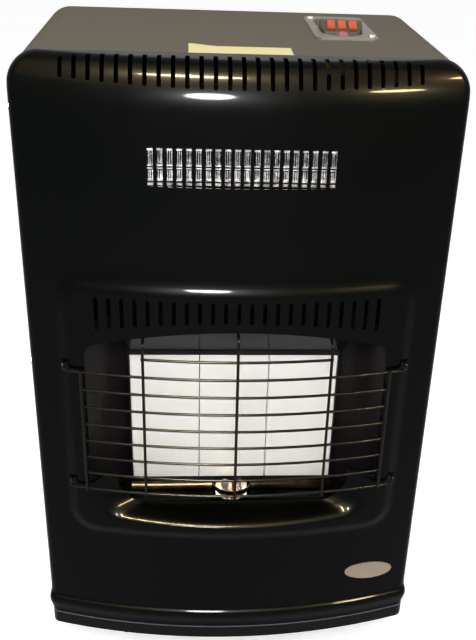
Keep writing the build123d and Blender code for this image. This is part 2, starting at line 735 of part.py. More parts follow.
# ================================================================== controls
bezel_top = wrap_top + bezel_thick
skirt_wall, skirt_depth = 1.4, 19.0
tray_z = wrap_top - skirt_depth - thin_sheet
pod_front, pod_back = 137.0, 167.0
pod_half = well_width / 2 - 0.3
pod_lift = 10.5            # top of the switch pod above the bezel
tongue_half = 5.5
well_front = slot_y - well_length / 2



def well_slot(z, length, wide):
    """Long slot with round ends, drawn with flats."""
    with BuildSketch(Plane.XY.offset(z)) as outline:
        with Locations((well_x, slot_y)):
            Rectangle(wide, length - wide)
            with Locations((0, (length - wide) / 2), (0, (wide - length) / 2)):
                RegularPolygon(wide / 2, knob_flats)
    return outline.sketch


with BuildPart() as control_bezel:
    with BuildSketch(Plane.XY.offset(wrap_top)):
        with Locations((bezel_x, slot_y)):
            RectangleRounded(bezel_width, bezel_length, bezel_corner)
    extrude(amount=bezel_thick)
    chamfer(control_bezel.faces().sort_by(Axis.Z)[-1].edges(), 0.8)
    extrude(well_slot(wrap_top, well_length + 2 * skirt_wall, well_width + 2 * skirt_wall), amount=-skirt_depth)
    extrude(well_slot(bezel_top, well_length, well_width), amount=-skirt_depth - 2 * bezel_thick,
            mode=Mode.SUBTRACT)
    # tongue for the indicator lamp, between the front of the well and the switch pod
    tongue_back = deep(pod_front) - lap_gap
    with BuildSketch(Plane.XY.offset(bezel_top - bezel_thick)):
        with Locations((well_x, (well_front - skirt_wall + tongue_back) / 2)):
            Rectangle(2 * tongue_half, tongue_back - well_front + skirt_wall)
    extrude(amount=bezel_thick - 0.4)
    with BuildSketch(Plane.XY.offset(bezel_top)):
        with Locations(*screw_places):
            RegularPolygon(screw_hole, 6)
    extrude(amount=-2 * bezel_thick, mode=Mode.SUBTRACT)
save(control_bezel, "control_bezel")

lens_margin, lens_tall, lens_edge = 0.9, 2.2, 1.2
with BuildPart() as indicator_lens:
    with BuildSketch(Plane.XY.offset(bezel_top - 0.4)):
        with Locations((well_x, (well_front + tongue_back) / 2)):
            Rectangle(2 * (tongue_half - lens_margin), tongue_back - well_front - 2 * lens_margin)
    extrude(amount=lens_tall)
    chamfer(indicator_lens.edges().filter_by(Axis.Z), 2 * lens_edge)
    chamfer(indicator_lens.faces().sort_by(Axis.Z)[-1].edges(), lens_edge)
save(indicator_lens, "indicator_lens")

with BuildPart() as bezel_screws:
    for x, y in screw_places:
        for start, radius, tall in ((bezel_top, screw_head, screw_rise), (bezel_top, screw_shank, -8)):
            with BuildSketch(Plane.XY.offset(start)):
                with Locations((x, y)):
                    RegularPolygon(radius, 8)
            extrude(amount=tall)
save(bezel_screws, "bezel_screws")

# tray under the well, carrying the switch pod and the gas valve
spindle_radius = 3.0
tray_margin = 3.0
with BuildPart() as control_tray:
    with BuildSketch(Plane.XY.offset(tray_z)):
        with Locations((well_x, slot_y)):
            Rectangle(well_width + 2 * skirt_wall + 2 * tray_margin, well_length + 2 * tray_margin)
        with Locations((well_x, deep(knob_y))):
            Circle(spindle_radius + 2, mode=Mode.SUBTRACT)
    extrude(amount=thin_sheet)
    for side in (-1, 1):
        edge = well_x + side * (well_width / 2 + skirt_wall + tray_margin - thin_sheet / 2)
        with BuildSketch(Plane.XY.offset(tray_z)):
            with Locations((edge, slot_y)):
                Rectangle(thin_sheet, well_length + 2 * tray_margin)
        extrude(amount=wrap_top - thin_sheet - tray_z)
save(control_tray, "control_tray")

# switch pod: its sloped face looks at the user
tilt = radians(rocker_tilt)
face_foot = (deep(pod_front), bezel_top + 1.0)
face_length = (pod_lift - 1.0) / sin(tilt)
face_head = (face_foot[0] + face_length * cos(tilt), bezel_top + pod_lift)
face_middle = ((face_foot[0] + face_head[0]) / 2, (face_foot[1] + face_head[1]) / 2)
pocket_gap, pocket_depth = 0.25, 7.0


def switch_plane(along, out, x=0.0):
    """Plane square to X at the sloped face: local x runs up the slope, local y out of it."""
    y = face_middle[0] + along * cos(tilt) - out * sin(tilt)
    z = face_middle[1] + along * sin(tilt) + out * cos(tilt)
    return Plane(origin=(x, y, z), x_dir=(0, cos(tilt), sin(tilt)), z_dir=(1, 0, 0))


rocker_places = [("left", -rocker_pitch), ("centre", 0.0), ("right", rocker_pitch)]
with BuildPart() as switch_pod:
    with BuildSketch(Plane.YZ.offset(well_x - pod_half)):
        with BuildLine():
            Polyline((face_foot[0], tray_z + thin_sheet), face_foot, face_head,
                     (face_head[0] + 3, face_head[1]), (deep(pod_back), bezel_top + 2),
                     (deep(pod_back), tray_z + thin_sheet), close=True)
        make_face()
    extrude(amount=2 * pod_half)
    upright = switch_pod.edges().filter_by(Axis.Z)
    fillet(upright, 6.0)
    for name, shift in rocker_places:
        with BuildSketch(switch_plane(0, 0, well_x + shift - rocker_width / 2 - pocket_gap)):
            Rectangle(rocker_length + 0.8, 2 * pocket_depth)
        extrude(amount=rocker_width + 2 * pocket_gap, mode=Mode.SUBTRACT)
save(switch_pod, "switch_pod")

rocker_proud, rocker_sink, rocker_swing = 2.2, 4.6, 14.0
rocker_pivot = -1.2        # below the sloped face
for name, shift in rocker_places:
    long = rocker_length / 2
    with BuildPart() as rocker:
        with BuildSketch(switch_plane(0, rocker_pivot, well_x + shift - rocker_width / 2)) as side:
            with BuildLine():
                Polyline((-long + 1.4, -rocker_sink), (long - 1.4, -rocker_sink),
                         (long, rocker_proud - rocker_pivot), (0, rocker_proud - rocker_pivot - 0.9),
                         (-long, rocker_proud - rocker_pivot), close=True)
            make_face()
        extrude(amount=rocker_width)
    with BuildPart() as rocker_set:
        pivot = switch_plane(0, rocker_pivot)
        add(rocker.part.rotate(Axis(pivot.origin, (1, 0, 0)), -rocker_swing / 2))
        chamfer(rocker_set.edges().group_by(Axis.Z)[-1], 0.5)
    save(rocker_set, f"rocker_{name}")

# gas knob on its spindle, in the rear of the well
knob_low = tray_z + thin_sheet + knob_press + 2.0
knob_grip, knob_skirt = 8.0, 7.0
spindle_low = tray_z - 12.0
spindle_high = knob_low + 7.0
with BuildPart() as gas_knob:
    with BuildSketch(Plane.XY.offset(knob_low)):
        with Locations((well_x, deep(knob_y))):
            RegularPolygon(knob_radius, knob_flats)
    extrude(amount=knob_skirt)
    chamfer(gas_knob.faces().sort_by(Axis.Z)[-1].edges(), 1.0)
    with BuildSketch(Plane.XY.offset(knob_low)):
        with Locations((well_x, deep(knob_y))):
            Rectangle(knob_grip, 2 * knob_radius - 2)
    extrude(amount=knob_height)
    chamfer(gas_knob.faces().sort_by(Axis.Z)[-1].edges(), 1.5)
    with BuildSketch(Plane.XY.offset(knob_low)):
        with Locations((well_x, deep(knob_y))):
            Circle(spindle_radius + running_gap)
    extrude(amount=spindle_high - knob_low + knob_press + 0.6, mode=Mode.SUBTRACT)
save(gas_knob, "gas_knob")

with BuildPart() as valve_spindle:
    with BuildSketch(Plane.XY.offset(spindle_low)):
        with Locations((well_x, deep(knob_y))):
            Circle(spindle_radius)
    extrude(amount=spindle_high - spindle_low)
save(valve_spindle, "valve_spindle")

# gas valve, hung under the tray
valve_x, valve_wide, valve_long, valve_tall = well_x, 34.0, 36.0, 30.0
tail_radius, tail_length, tail_z = 4.5, 24.0, tray_z - 16.0
valve_end = deep(knob_y) + valve_long / 2
outlet_z, outlet_reach = tray_z - 16.0, 9.0
with BuildPart() as gas_valve:
    with BuildSketch(Plane.XY.offset(tray_z)):
        with Locations((valve_x, deep(knob_y))):
            Rectangle(valve_wide, valve_long)
    extrude(amount=-valve_tall)
    chamfer(gas_valve.edges().filter_by(Axis.Z), 4)
    with BuildSketch(Plane.XY.offset(tray_z)):
        with Locations((well_x, deep(knob_y))):
            Circle(spindle_radius + running_gap)
    extrude(amount=spindle_low - tray_z - 0.3, mode=Mode.SUBTRACT)
    with BuildSketch(Plane.XZ.offset(-valve_end)):
        with Locations((valve_x, tail_z)):
            Circle(tail_radius)
    extrude(amount=-tail_length)
    with BuildSketch(Plane.XZ.offset(-valve_end)):
        with Locations((valve_x, tail_z)):
            RegularPolygon(8, 6)
    extrude(amount=-5)
    with BuildSketch(Plane.YZ.offset(valve_x + valve_wide / 2)):
        with Locations((deep(knob_y), outlet_z)):
            RegularPolygon(6.5, 6)
    extrude(amount=outlet_reach)
save(gas_valve, "gas_valve")

with BuildPart() as piezo_igniter:
    with BuildSketch(Plane.XY.offset(tray_z)):
        with Locations((valve_x - valve_wide / 2 - 7.5, deep(knob_y))):
            RegularPolygon(7, 8)
    extrude(amount=-34)
save(piezo_igniter, "piezo_igniter")

# copper pipe: sideways from the valve, forward over the bulkhead, down beside the burner
pipe_radius, pipe_bend, pipe_y = 4.0, 16.0, 62.0
with BuildPart() as gas_pipe:
    with BuildLine() as route:
        FilletPolyline(
            (valve_x + valve_wide / 2 + outlet_reach, deep(knob_y), outlet_z),
            (pipe_x, deep(knob_y), outlet_z), (pipe_x, deep(pipe_y), outlet_z),
            (pipe_x, deep(pipe_y), up(manifold_z) + 40), (pipe_x - 30, deep(venturi_y), up(manifold_z)),
            (manifold_right, deep(venturi_y), up(manifold_z)), radius=pipe_bend)
    with BuildSketch(Plane(origin=route.line @ 0, z_dir=route.line % 0)):
        RegularPolygon(pipe_radius, 6)
    sweep(path=route.line)
save(gas_pipe, "gas_pipe")

# ================================================================== fan heater behind the outlet
duct_wall, duct_front, duct_back = 1.0, -3.0, 64.0
duct_low, duct_high = 524.0, 573.0
cheek_gap = 3.0
duct_half = rotor_length / 2 + cheek_gap
intake_y, intake_wide = 46.0, 20.0
shaft_radius = 2.5
duct_middle_y, duct_middle_z = deep((duct_front + duct_back) / 2), up((duct_low + duct_high) / 2)
with BuildPart() as fan_housing:
    with BuildSketch(Plane.YZ.offset(-duct_half - duct_wall)):
        with Locations((duct_middle_y, duct_middle_z)):
            Rectangle(duct_back - duct_front, duct_high - duct_low)
    extrude(amount=2 * (duct_half + duct_wall))
    with BuildSketch(Plane.YZ.offset(-duct_half)):
        with Locations((duct_middle_y - 2 * duct_wall, duct_middle_z)):
            Rectangle(duct_back - duct_front + 2 * duct_wall, duct_high - duct_low - 2 * duct_wall)
    extrude(amount=2 * duct_half, mode=Mode.SUBTRACT)
    with BuildSketch(Plane.XY.offset(up(duct_high))):
        with Locations((0, deep(intake_y))):
            Rectangle(2 * duct_half - 12, intake_wide)
    extrude(amount=-2 * duct_wall, mode=Mode.SUBTRACT)
    with BuildSketch(Plane.YZ.offset(-2 * duct_half)):
        with Locations((deep(rotor_y), up(rotor_z))):
            Circle(shaft_radius + running_gap)
    extrude(amount=4 * duct_half, mode=Mode.SUBTRACT)
    # ears that hang it on the bulkhead
    for x in (-70, 70):
        with BuildSketch(Plane.XZ.offset(-deep(duct_back))):
            with Locations((x, up(duct_low + 12))):
                Rectangle(14, 10)
        extrude(amount=-(shield_y - duct_back))
save(fan_housing, "fan_housing")

motor_size, motor_thick = 40.0, 24.0
motor_x = duct_half + duct_wall
blade_count, blade_deep, blade_thick, disc_thick = 12, 5.0, 1.0, 2.0
with BuildPart() as fan_rotor:
    # stub shafts in the housing's cheeks, the right-hand one in the motor too
    for start, end in ((-duct_half - duct_wall - 2, -rotor_length / 2), (rotor_length / 2, duct_half + duct_wall + 6)):
        with BuildSketch(Plane.YZ.offset(start)):
            with Locations((deep(rotor_y), up(rotor_z))):
                Circle(shaft_radius)
        extrude(amount=end - start)
    for place in (-rotor_length / 2, rotor_length / 2 - disc_thick):
        with BuildSketch(Plane.YZ.offset(place)):
            with Locations((deep(rotor_y), up(rotor_z))):
                RegularPolygon(rotor_radius, blade_count)
        extrude(amount=disc_thick)
    with BuildSketch(Plane.YZ.offset(-rotor_length / 2)):
        with Locations((deep(rotor_y), up(rotor_z))):
            with PolarLocations(rotor_radius - blade_deep / 2 - 1, blade_count):
                Rectangle(blade_deep, blade_thick, rotation=25)
    extrude(amount=rotor_length)
save(fan_rotor, "fan_rotor")

with BuildPart() as fan_motor:
    with BuildSketch(Plane.YZ.offset(motor_x)):
        with Locations((deep(rotor_y), up(rotor_z))):
            Rectangle(motor_size, motor_size)
    extrude(amount=motor_thick)
    chamfer(fan_motor.edges().filter_by(Axis.X), 5)
    with BuildSketch(Plane.YZ.offset(motor_x + motor_thick)):
        with Locations((deep(rotor_y), up(rotor_z))):
            RegularPolygon(12, 8)
    extrude(amount=8)
    with BuildSketch(Plane.YZ.offset(motor_x)):
        with Locations((deep(rotor_y), up(rotor_z))):
            Circle(shaft_radius + running_gap)
    extrude(amount=12, mode=Mode.SUBTRACT)
save(fan_motor, "fan_motor")

# finned heating element: two rows of fins between three rails
fin_count, fin_thick, fin_sink, end_bar = 22, 1.0, 1.0, 6.0
rails = [(530.0, 537.0), (547.0, 551.5), (564.0, 569.0)]
rail_low, rail_high = rails[0][0], rails[-1][1]
with BuildPart() as heating_element:
    for low, high in rails:
        with BuildSketch(Plane.XZ.offset(-deep(element_front))):
            with Locations((0, up((low + high) / 2))):
                Rectangle(2 * element_half, high - low)
        extrude(amount=-element_depth)
    for side in (-1, 1):
        with BuildSketch(Plane.XZ.offset(-deep(element_front))):
            with Locations((side * (element_half - end_bar / 2), up((rail_low + rail_high) / 2))):
                Rectangle(end_bar, rail_high - rail_low)
        extrude(amount=-element_depth)
        # end flange, screwed to the front edge of the housing
        with BuildSketch(Plane.XZ.offset(-deep(duct_front))):
            with Locations((side * (duct_half + duct_wall - end_bar), up((rail_low + rail_high) / 2))):
                Rectangle(2 * end_bar, rail_high - rail_low)
        extrude(amount=duct_front - element_front - element_depth + 0.5)
    for (low, high), (next_low, next_high) in zip(rails, rails[1:]):
        with BuildSketch(Plane.XZ.offset(-deep(element_front + fin_sink))):
            with Locations((0, up((high + next_low) / 2))):
                with GridLocations(2 * (element_half - end_bar) / fin_count, 1, fin_count, 1):
                    Rectangle(fin_thick, next_low - high)
        extrude(amount=2 * fin_sink - element_depth)
save(heating_element, "heating_element")

# ================================================================== terminal block
block_inset, block_z, block_deep = 40.0, 120.0, 16.0
block_wide, block_tall = 44.0, 20.0
way_pitch, way_wide, way_tall, way_deep = 13.0, 9.0, 12.0, 6.0
block_x = half - block_inset
block_back = shield_y + thin_sheet + block_deep
with BuildPart() as terminal_block:
    with BuildSketch(Plane.XZ.offset(-deep(block_back))):
        with Locations((block_x, up(block_z))):
            Rectangle(block_wide, block_tall)
    extrude(amount=block_deep)
    with BuildSketch(Plane.XZ.offset(-deep(block_back))):
        with Locations((block_x, up(block_z))):
            with GridLocations(way_pitch, 1, 3, 1):
                Rectangle(way_wide, way_tall)
    extrude(amount=way_deep, mode=Mode.SUBTRACT)
save(terminal_block, "terminal_block")

# ================================================================== rear door
door_half = wrap_half - 4.0
door_low, door_top_gap = base_rim + 2.0, 4.0
door_y = back_y + door_gap
bulge_high = panel_height - 24.0
bulge_chamfer = 14.0
louvre_count, louvre_wide, louvre_tall, louvre_pitch = 5, 110.0, 5.0, 13.0
door_top = wrap_top - door_top_gap


def bulge(wall, low):
    """Bulge that clears the gas cylinder; open underneath when `low` is below the door."""
    rear = door_y + thin_sheet + door_bulge - wall
    wide, narrow = bulge_half - wall, bulge_half - bulge_taper - wall
    high, rear_high = up(bulge_high - wall), up(bulge_high - bulge_top_drop - wall)
    with BuildPart() as form:
        with BuildSketch(Plane.XY.offset(up(low))) as plan:
            with BuildLine():
                Polyline((-wide, door_y), (wide, door_y), (narrow, rear), (-narrow, rear), close=True)
            make_face()
            fillet(plan.vertices().group_by(Axis.Y)[-1], bulge_round - wall)
        extrude(amount=high - up(low))
        # sloped top
        with BuildSketch(Plane.YZ.offset(-half)):
            with BuildLine():
                Polyline((door_y, high), (rear, rear_high), (rear, high + 1), (door_y, high + 1), close=True)
            make_face()
        extrude(amount=width, mode=Mode.SUBTRACT)
        rim = form.faces().sort_by(Axis.Z)[-1].edges()
        chamfer(rim.sort_by(Axis.Y)[1:], bulge_chamfer)
    return form.part


door_solid = bulge(0, door_low)
door_hollow = bulge(thin_sheet, door_low - 5)
latch_inset, latch_z, latch_shaft = 14.15, 320.0, 4.0
latch_x = door_half - latch_inset

with BuildPart() as rear_door:
    with BuildSketch(Plane.XZ.offset(-door_y)) as flange:
        with Locations((0, (up(door_low) + door_top) / 2)):
            Rectangle(2 * door_half, door_top - up(door_low))
        fillet(flange.vertices().group_by(Axis.Y)[-1], wrap_corner - door_top_gap)
    extrude(amount=-thin_sheet)
    add(door_solid)
    add(door_hollow, mode=Mode.SUBTRACT)
    # nothing reaches ahead of the flange
    with BuildSketch(Plane.XZ.offset(-door_y)):
        with Locations((0, up(bulge_high / 2))):
            Rectangle(4 * half, 4 * panel_height)
    extrude(amount=20, mode=Mode.SUBTRACT)
    with BuildSketch(Plane.XZ.offset(-door_y - thin_sheet - door_bulge)):
        for middle in (110, 470):
            with Locations((0, up(middle))):
                with GridLocations(1, louvre_pitch, 1, louvre_count):
                    Rectangle(louvre_wide, louvre_tall)
    extrude(amount=10, mode=Mode.SUBTRACT)
    with BuildSketch(Plane.XZ.offset(-door_y)):
        with Locations((latch_x, up(latch_z))):
            Circle(latch_shaft + running_gap)
    extrude(amount=-2 * thin_sheet, mode=Mode.SUBTRACT)
save(rear_door, "rear_door")

# quarter-turn latch: its cam turns behind the rear frame. It is drawn unlatched.
latch_knob, latch_knob_thick, latch_grip, latch_grip_wide = 11.0, 5.0, 8.0, 5.0
cam_wide, cam_reach, cam_thick, cam_gap = 8.0, 13.0, 2.0, 1.0
knob_face = door_y + thin_sheet + lap_gap
cam_back = back_y - thin_sheet - cam_gap
with BuildPart() as door_latch:
    with BuildSketch(Plane.XZ.offset(-cam_back + cam_thick)):
        with Locations((latch_x, up(latch_z))):
            Circle(latch_shaft)
    extrude(amount=-(knob_face - cam_back + cam_thick + 1))
    with BuildSketch(Plane.XZ.offset(-knob_face)):
        with Locations((latch_x, up(latch_z))):
            RegularPolygon(latch_knob, 10)
    extrude(amount=-latch_knob_thick)
    with BuildSketch(Plane.XZ.offset(-knob_face)):
        with Locations((latch_x, up(latch_z))):
            Rectangle(latch_grip_wide, 2 * latch_knob - 3)
    extrude(amount=-latch_knob_thick - latch_grip)
    with BuildSketch(Plane.XZ.offset(-cam_back)):
        with Locations((latch_x, up(latch_z) + (cam_reach - latch_shaft) / 2)):
            Rectangle(cam_wide, cam_reach + latch_shaft)
    extrude(amount=cam_thick)
save(door_latch, "door_latch")

# two hinges on the left-hand edge
knuckle_radius, lug_thick, lug_radius, leaf_thick, leaf_wide = 4.0, 1.5, 4.6, 1.2, 20.0
hinge_x = -wrap_half + knuckle_radius + 0.35
hinge_y = door_y + thin_sheet + leaf_thick + knuckle_radius - 0.3
bracket_reach = 28.0
hinges = [hinge_low, hinge_high]
with BuildPart() as door_leaves:
    for z in hinges:
        with BuildSketch(Plane.XY.offset(up(z))):
            with Locations((hinge_x, hinge_y)):
                RegularPolygon(knuckle_radius, 8)
            with Locations((hinge_x + leaf_wide / 2, door_y + thin_sheet + leaf_thick / 2)):
                Rectangle(leaf_wide, leaf_thick)
            with Locations((hinge_x, hinge_y)):
                Circle(hinge_pin + running_gap, mode=Mode.SUBTRACT)
        extrude(amount=hinge_length)
save(door_leaves, "door_leaves")

with BuildPart() as hinge_brackets:
    for z in hinges:
        low, high = up(z) - lap_gap - lug_thick, up(z) + hinge_length + lap_gap + lug_thick
        with BuildSketch(Plane.XY.offset(low)):
            with Locations((-wrap_half - leaf_thick / 2, hinge_y + lug_radius - bracket_reach / 2)):
                Rectangle(leaf_thick, bracket_reach)
        extrude(amount=high - low)
        for start in (low, high - lug_thick):
            with BuildSketch(Plane.XY.offset(start)):
                with Locations((hinge_x, hinge_y)):
                    RegularPolygon(lug_radius, 8)
                with Locations(((hinge_x - wrap_half - leaf_thick) / 2, hinge_y)):
                    Rectangle(hinge_x + wrap_half + leaf_thick, lug_radius)
                with Locations((hinge_x, hinge_y)):
                    RegularPolygon(hinge_pin + 3 * lap_gap, 8, mode=Mode.SUBTRACT)
            extrude(amount=lug_thick)
save(hinge_brackets, "hinge_brackets")

with BuildPart() as hinge_pins:
    for z in hinges:
        foot, head = up(z) - lap_gap - lug_thick - 1, up(z) + hinge_length + lap_gap + lug_thick
        with BuildSketch(Plane.XY.offset(foot)):
            with Locations((hinge_x, hinge_y)):
                Circle(hinge_pin)
        extrude(amount=head - foot + 0.5)
        with BuildSketch(Plane.XY.offset(head)):
            with Locations((hinge_x, hinge_y)):
                RegularPolygon(hinge_pin + 1.5, 6)
        extrude(amount=1.5)
save(hinge_pins, "hinge_pins")

# ================================================================== castors
deck_low = panel_bottom - plinth_wall
flange_radius, flange_thick = 15.0, 2.0
fork_top = deck_low - flange_thick - 0.3
boss_radius, boss_tall, plate_thick = 12.0, 7.5, 2.0
fork_plate = fork_top - boss_tall - plate_thick        # underside of the fork's top plate
fork_gap, fork_wall = 1.5, 2.0
plate_shift, leg_half = 3.0, 7.0
axle_radius, axle_head = 3.0, 5.0
wheel_edge = 2.5
leg_in = wheel_width / 2 + fork_gap
turn_cos, turn_sin = cos(radians(castor_turn)), sin(radians(castor_turn))

with BuildPart() as castor_stems:
    for x, y in castor_places.values():
        # flange, nut over the base pan, retaining head under the fork, and the square neck
        for low, high, radius, sides in (
            (deck_low - flange_thick, deck_low, flange_radius, 8),
            (panel_bottom + thin_sheet, panel_bottom + thin_sheet + 4, 8, 6),
            (fork_plate - 0.3 - 1.5, fork_plate - 0.3, 6, 6),
            (deck_low - flange_thick, panel_bottom + 9, stem_radius, 6),
        ):
            with BuildSketch(Plane.XY.offset(low)):
                with Locations((x, y)):
                    RegularPolygon(radius, sides)
            extrude(amount=high - low)
        # turned pivot that the fork swivels on
        with BuildSketch(Plane.XY.offset(fork_plate - 1)):
            with Locations((x, y)):
                Circle(stem_radius)
        extrude(amount=deck_low - flange_thick + 1 - fork_plate)
save(castor_stems, "castor_stems")

for name, (x, y) in castor_places.items():
    # local x is the axle's direction, local y the way the wheel trails
    flat = Plane(origin=(x, y, 0), x_dir=(turn_cos, turn_sin, 0), z_dir=(0, 0, 1))
    upright = Plane(origin=(x, y, 0), x_dir=(-turn_sin, turn_cos, 0), z_dir=(turn_cos, turn_sin, 0))
    with BuildPart() as fork:
        with BuildSketch(flat.offset(fork_plate)):
            RegularPolygon(boss_radius, 12)
        extrude(amount=boss_tall + plate_thick)
        with BuildSketch(flat.offset(fork_plate)):
            with Locations((0, plate_shift)):
                Rectangle(2 * (leg_in + fork_wall), 2 * boss_radius)
        extrude(amount=plate_thick)
        for side in (-leg_in - fork_wall, leg_in):
            with BuildSketch(upright.offset(side)) as leg:
                with BuildLine():
                    Polyline((plate_shift - boss_radius, fork_plate + plate_thick),
                             (plate_shift + boss_radius, fork_plate + plate_thick),
                             (castor_trail + leg_half, wheel_radius), (castor_trail + 3, wheel_radius - 6),
                             (castor_trail - 3, wheel_radius - 6), (castor_trail - leg_half, wheel_radius),
                             close=True)
                make_face()
                with Locations((castor_trail, wheel_radius)):
                    RegularPolygon(axle_radius + 2 * lap_gap, 8, mode=Mode.SUBTRACT)
            extrude(amount=fork_wall)
        with BuildSketch(flat.offset(fork_plate - 1)):
            Circle(stem_radius + running_gap)
        extrude(amount=boss_tall + plate_thick + 2, mode=Mode.SUBTRACT)
    save(fork, f"fork_{name}")
    with BuildPart() as axle:
        with BuildSketch(upright.offset(-leg_in - fork_wall - 1)):
            with Locations((castor_trail, wheel_radius)):
                Circle(axle_radius)
        extrude(amount=2 * (leg_in + fork_wall) + 2)
        for side in (-leg_in - fork_wall - 2, leg_in + fork_wall):
            with BuildSketch(upright.offset(side)):
                with Locations((castor_trail, wheel_radius)):
                    RegularPolygon(axle_head, 8)
            extrude(amount=2)
    save(axle, f"axle_{name}")
    with BuildPart() as wheel:
        with BuildSketch(upright.offset(-wheel_width / 2)):
            with Locations((castor_trail, wheel_radius)):
                RegularPolygon(wheel_radius, wheel_flats)
                Circle(axle_radius + running_gap, mode=Mode.SUBTRACT)
        extrude(amount=wheel_width)
        sides = wheel.faces().sort_by(Axis((0, 0, 0), (turn_cos, turn_sin, 0)))
        chamfer(sides[0].outer_wire().edges() + sides[-1].outer_wire().edges(), wheel_edge)
    save(wheel, f"wheel_{name}")

# ================================================================== case screws
with BuildPart() as case_screws:
    for side in (-1, 1):
        spots = [(side_screw_y, up(z), half) for z in side_screw_heights]
        spots.append((deep(base_screw_depth), up(base_screw_height), wrap_half))
        for y, z, face in spots:
            for start, radius, tall in ((face, screw_head, screw_rise), (face, screw_shank, -5)):
                with BuildSketch(Plane.YZ.offset(side * start)):
                    with Locations((y, z)):
                        RegularPolygon(radius, 6)
                extrude(amount=side * tall)
save(case_screws, "case_screws")
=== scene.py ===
import bpy
import json
from math import asin, atan2, cos, exp, hypot, pi, radians, sin, sqrt
from mathutils import Matrix, Vector


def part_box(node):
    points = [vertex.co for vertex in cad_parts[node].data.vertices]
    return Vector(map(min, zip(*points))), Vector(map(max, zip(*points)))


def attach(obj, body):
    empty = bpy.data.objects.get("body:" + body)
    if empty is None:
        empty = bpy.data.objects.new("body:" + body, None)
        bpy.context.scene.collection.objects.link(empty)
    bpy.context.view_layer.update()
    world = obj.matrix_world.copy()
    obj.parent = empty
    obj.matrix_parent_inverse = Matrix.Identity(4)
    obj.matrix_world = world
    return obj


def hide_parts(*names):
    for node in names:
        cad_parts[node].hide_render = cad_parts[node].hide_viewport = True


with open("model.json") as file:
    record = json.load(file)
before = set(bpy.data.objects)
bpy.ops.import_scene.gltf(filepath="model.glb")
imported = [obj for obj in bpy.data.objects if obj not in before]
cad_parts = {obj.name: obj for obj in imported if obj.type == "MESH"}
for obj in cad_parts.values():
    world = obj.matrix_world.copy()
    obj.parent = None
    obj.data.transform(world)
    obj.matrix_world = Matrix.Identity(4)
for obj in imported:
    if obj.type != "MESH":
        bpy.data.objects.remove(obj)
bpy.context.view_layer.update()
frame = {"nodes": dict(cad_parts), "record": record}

# Portable gas cabinet heater: looks. Metres, +Z up, +X to the right of someone facing it.

# ------------------------------------------------------------------ sizes shared with the solids
mm = 0.001
width, bow = 420 * mm, 33.2 * mm
flange_depth = 18 * mm
panel_bottom, panel_height = 70 * mm, 640 * mm
seam_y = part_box("front_panel")[1][1]
face_y = seam_y - flange_depth                         # plane of the panel's side edges
bow_radius = (width ** 2 / 4 + bow ** 2) / (2 * bow)
bow_centre = face_y - bow + bow_radius
sheet = 1.2 * mm
roll_height, roll_depth = 28 * mm, 24 * mm
roll_reach = 42 * mm                                   # how far down the front begins to lean
edge_radius = 10 * mm
top_z = panel_bottom + panel_height


def up(z):
    """Height above the floor of a height in millimetres above the panel's bottom edge."""
    return panel_bottom + z * mm


def deep(y):
    """Y of a depth in millimetres from the plane of the panel's side edges."""
    return face_y + y * mm


# ------------------------------------------------------------------ modelling helpers
def deselect():
    """Leaves edit mode and selects nothing."""
    if bpy.context.mode != "OBJECT":
        bpy.ops.object.mode_set(mode="OBJECT")
    bpy.ops.object.select_all(action="DESELECT")


def pick(*objects):
    """Selects just these objects, the first one active."""
    deselect()
    for o in objects:
        o.select_set(True)
    bpy.context.view_layer.objects.active = objects[0]


def named(name):
    """Names the active object and its mesh."""
    piece = bpy.context.active_object
    piece.name = name
    piece.data.name = name
    return piece


def settle(piece):
    """Puts a piece's place, turn and scale into its mesh."""
    pick(piece)
    bpy.ops.object.transform_apply(location=True, rotation=True, scale=True)


def apply_all(piece):
    """Applies a piece's modifiers in order."""
    pick(piece)
    for modifier in list(piece.modifiers):
        bpy.ops.object.modifier_apply(modifier=modifier.name)


def bevel(piece, across):
    """Rounds the sharp edges of a piece."""
    rounding = piece.modifiers.new("edges", "BEVEL")
    rounding.width = across
    rounding.segments = 2
    rounding.limit_method = "ANGLE"
    rounding.angle_limit = radians(35)


def smooth(piece, angle=30):
    """Shades a piece smooth where its faces meet at less than the angle."""
    pick(piece)
    bpy.ops.object.shade_smooth_by_angle(angle=radians(angle))


def block(name, low, high):
    """Box between two corners."""
    deselect()
    middle = [(a + b) / 2 for a, b in zip(low, high)]
    bpy.ops.mesh.primitive_cube_add(size=1, location=middle)
    piece = named(name)
    piece.scale = [b - a for a, b in zip(low, high)]
    settle(piece)
    return piece


def join(name, pieces):
    """Makes one piece of several, unfused."""
    pick(*pieces)
    if len(pieces) > 1:
        bpy.ops.object.join()
    return named(name)


def cut(piece, tool):
    """Takes `tool` out of `piece`."""
    trim = piece.modifiers.new("cut", "BOOLEAN")
    trim.operation = "DIFFERENCE"
    trim.solver = "EXACT"
    trim.object = tool
    pick(piece)
    bpy.ops.object.modifier_apply(modifier=trim.name)
    bpy.data.objects.remove(tool)


def tube(name, routes, radius):
    """Round wire of ten sides along each route of points."""
    curve = bpy.data.curves.new(name, "CURVE")
    curve.dimensions = "3D"
    curve.bevel_depth = radius
    curve.bevel_resolution = 3
    curve.use_fill_caps = True
    for route in routes:
        line = curve.splines.new("POLY")
        line.points.add(len(route) - 1)
        for point, place in zip(line.points, route):
            point.co = (*place, 1)
    deselect()
    piece = bpy.data.objects.new(name, curve)
    bpy.context.collection.objects.link(piece)
    pick(piece)
    bpy.ops.object.convert(target="MESH")
    piece = named(name)
    smooth(piece, 60)
    return piece


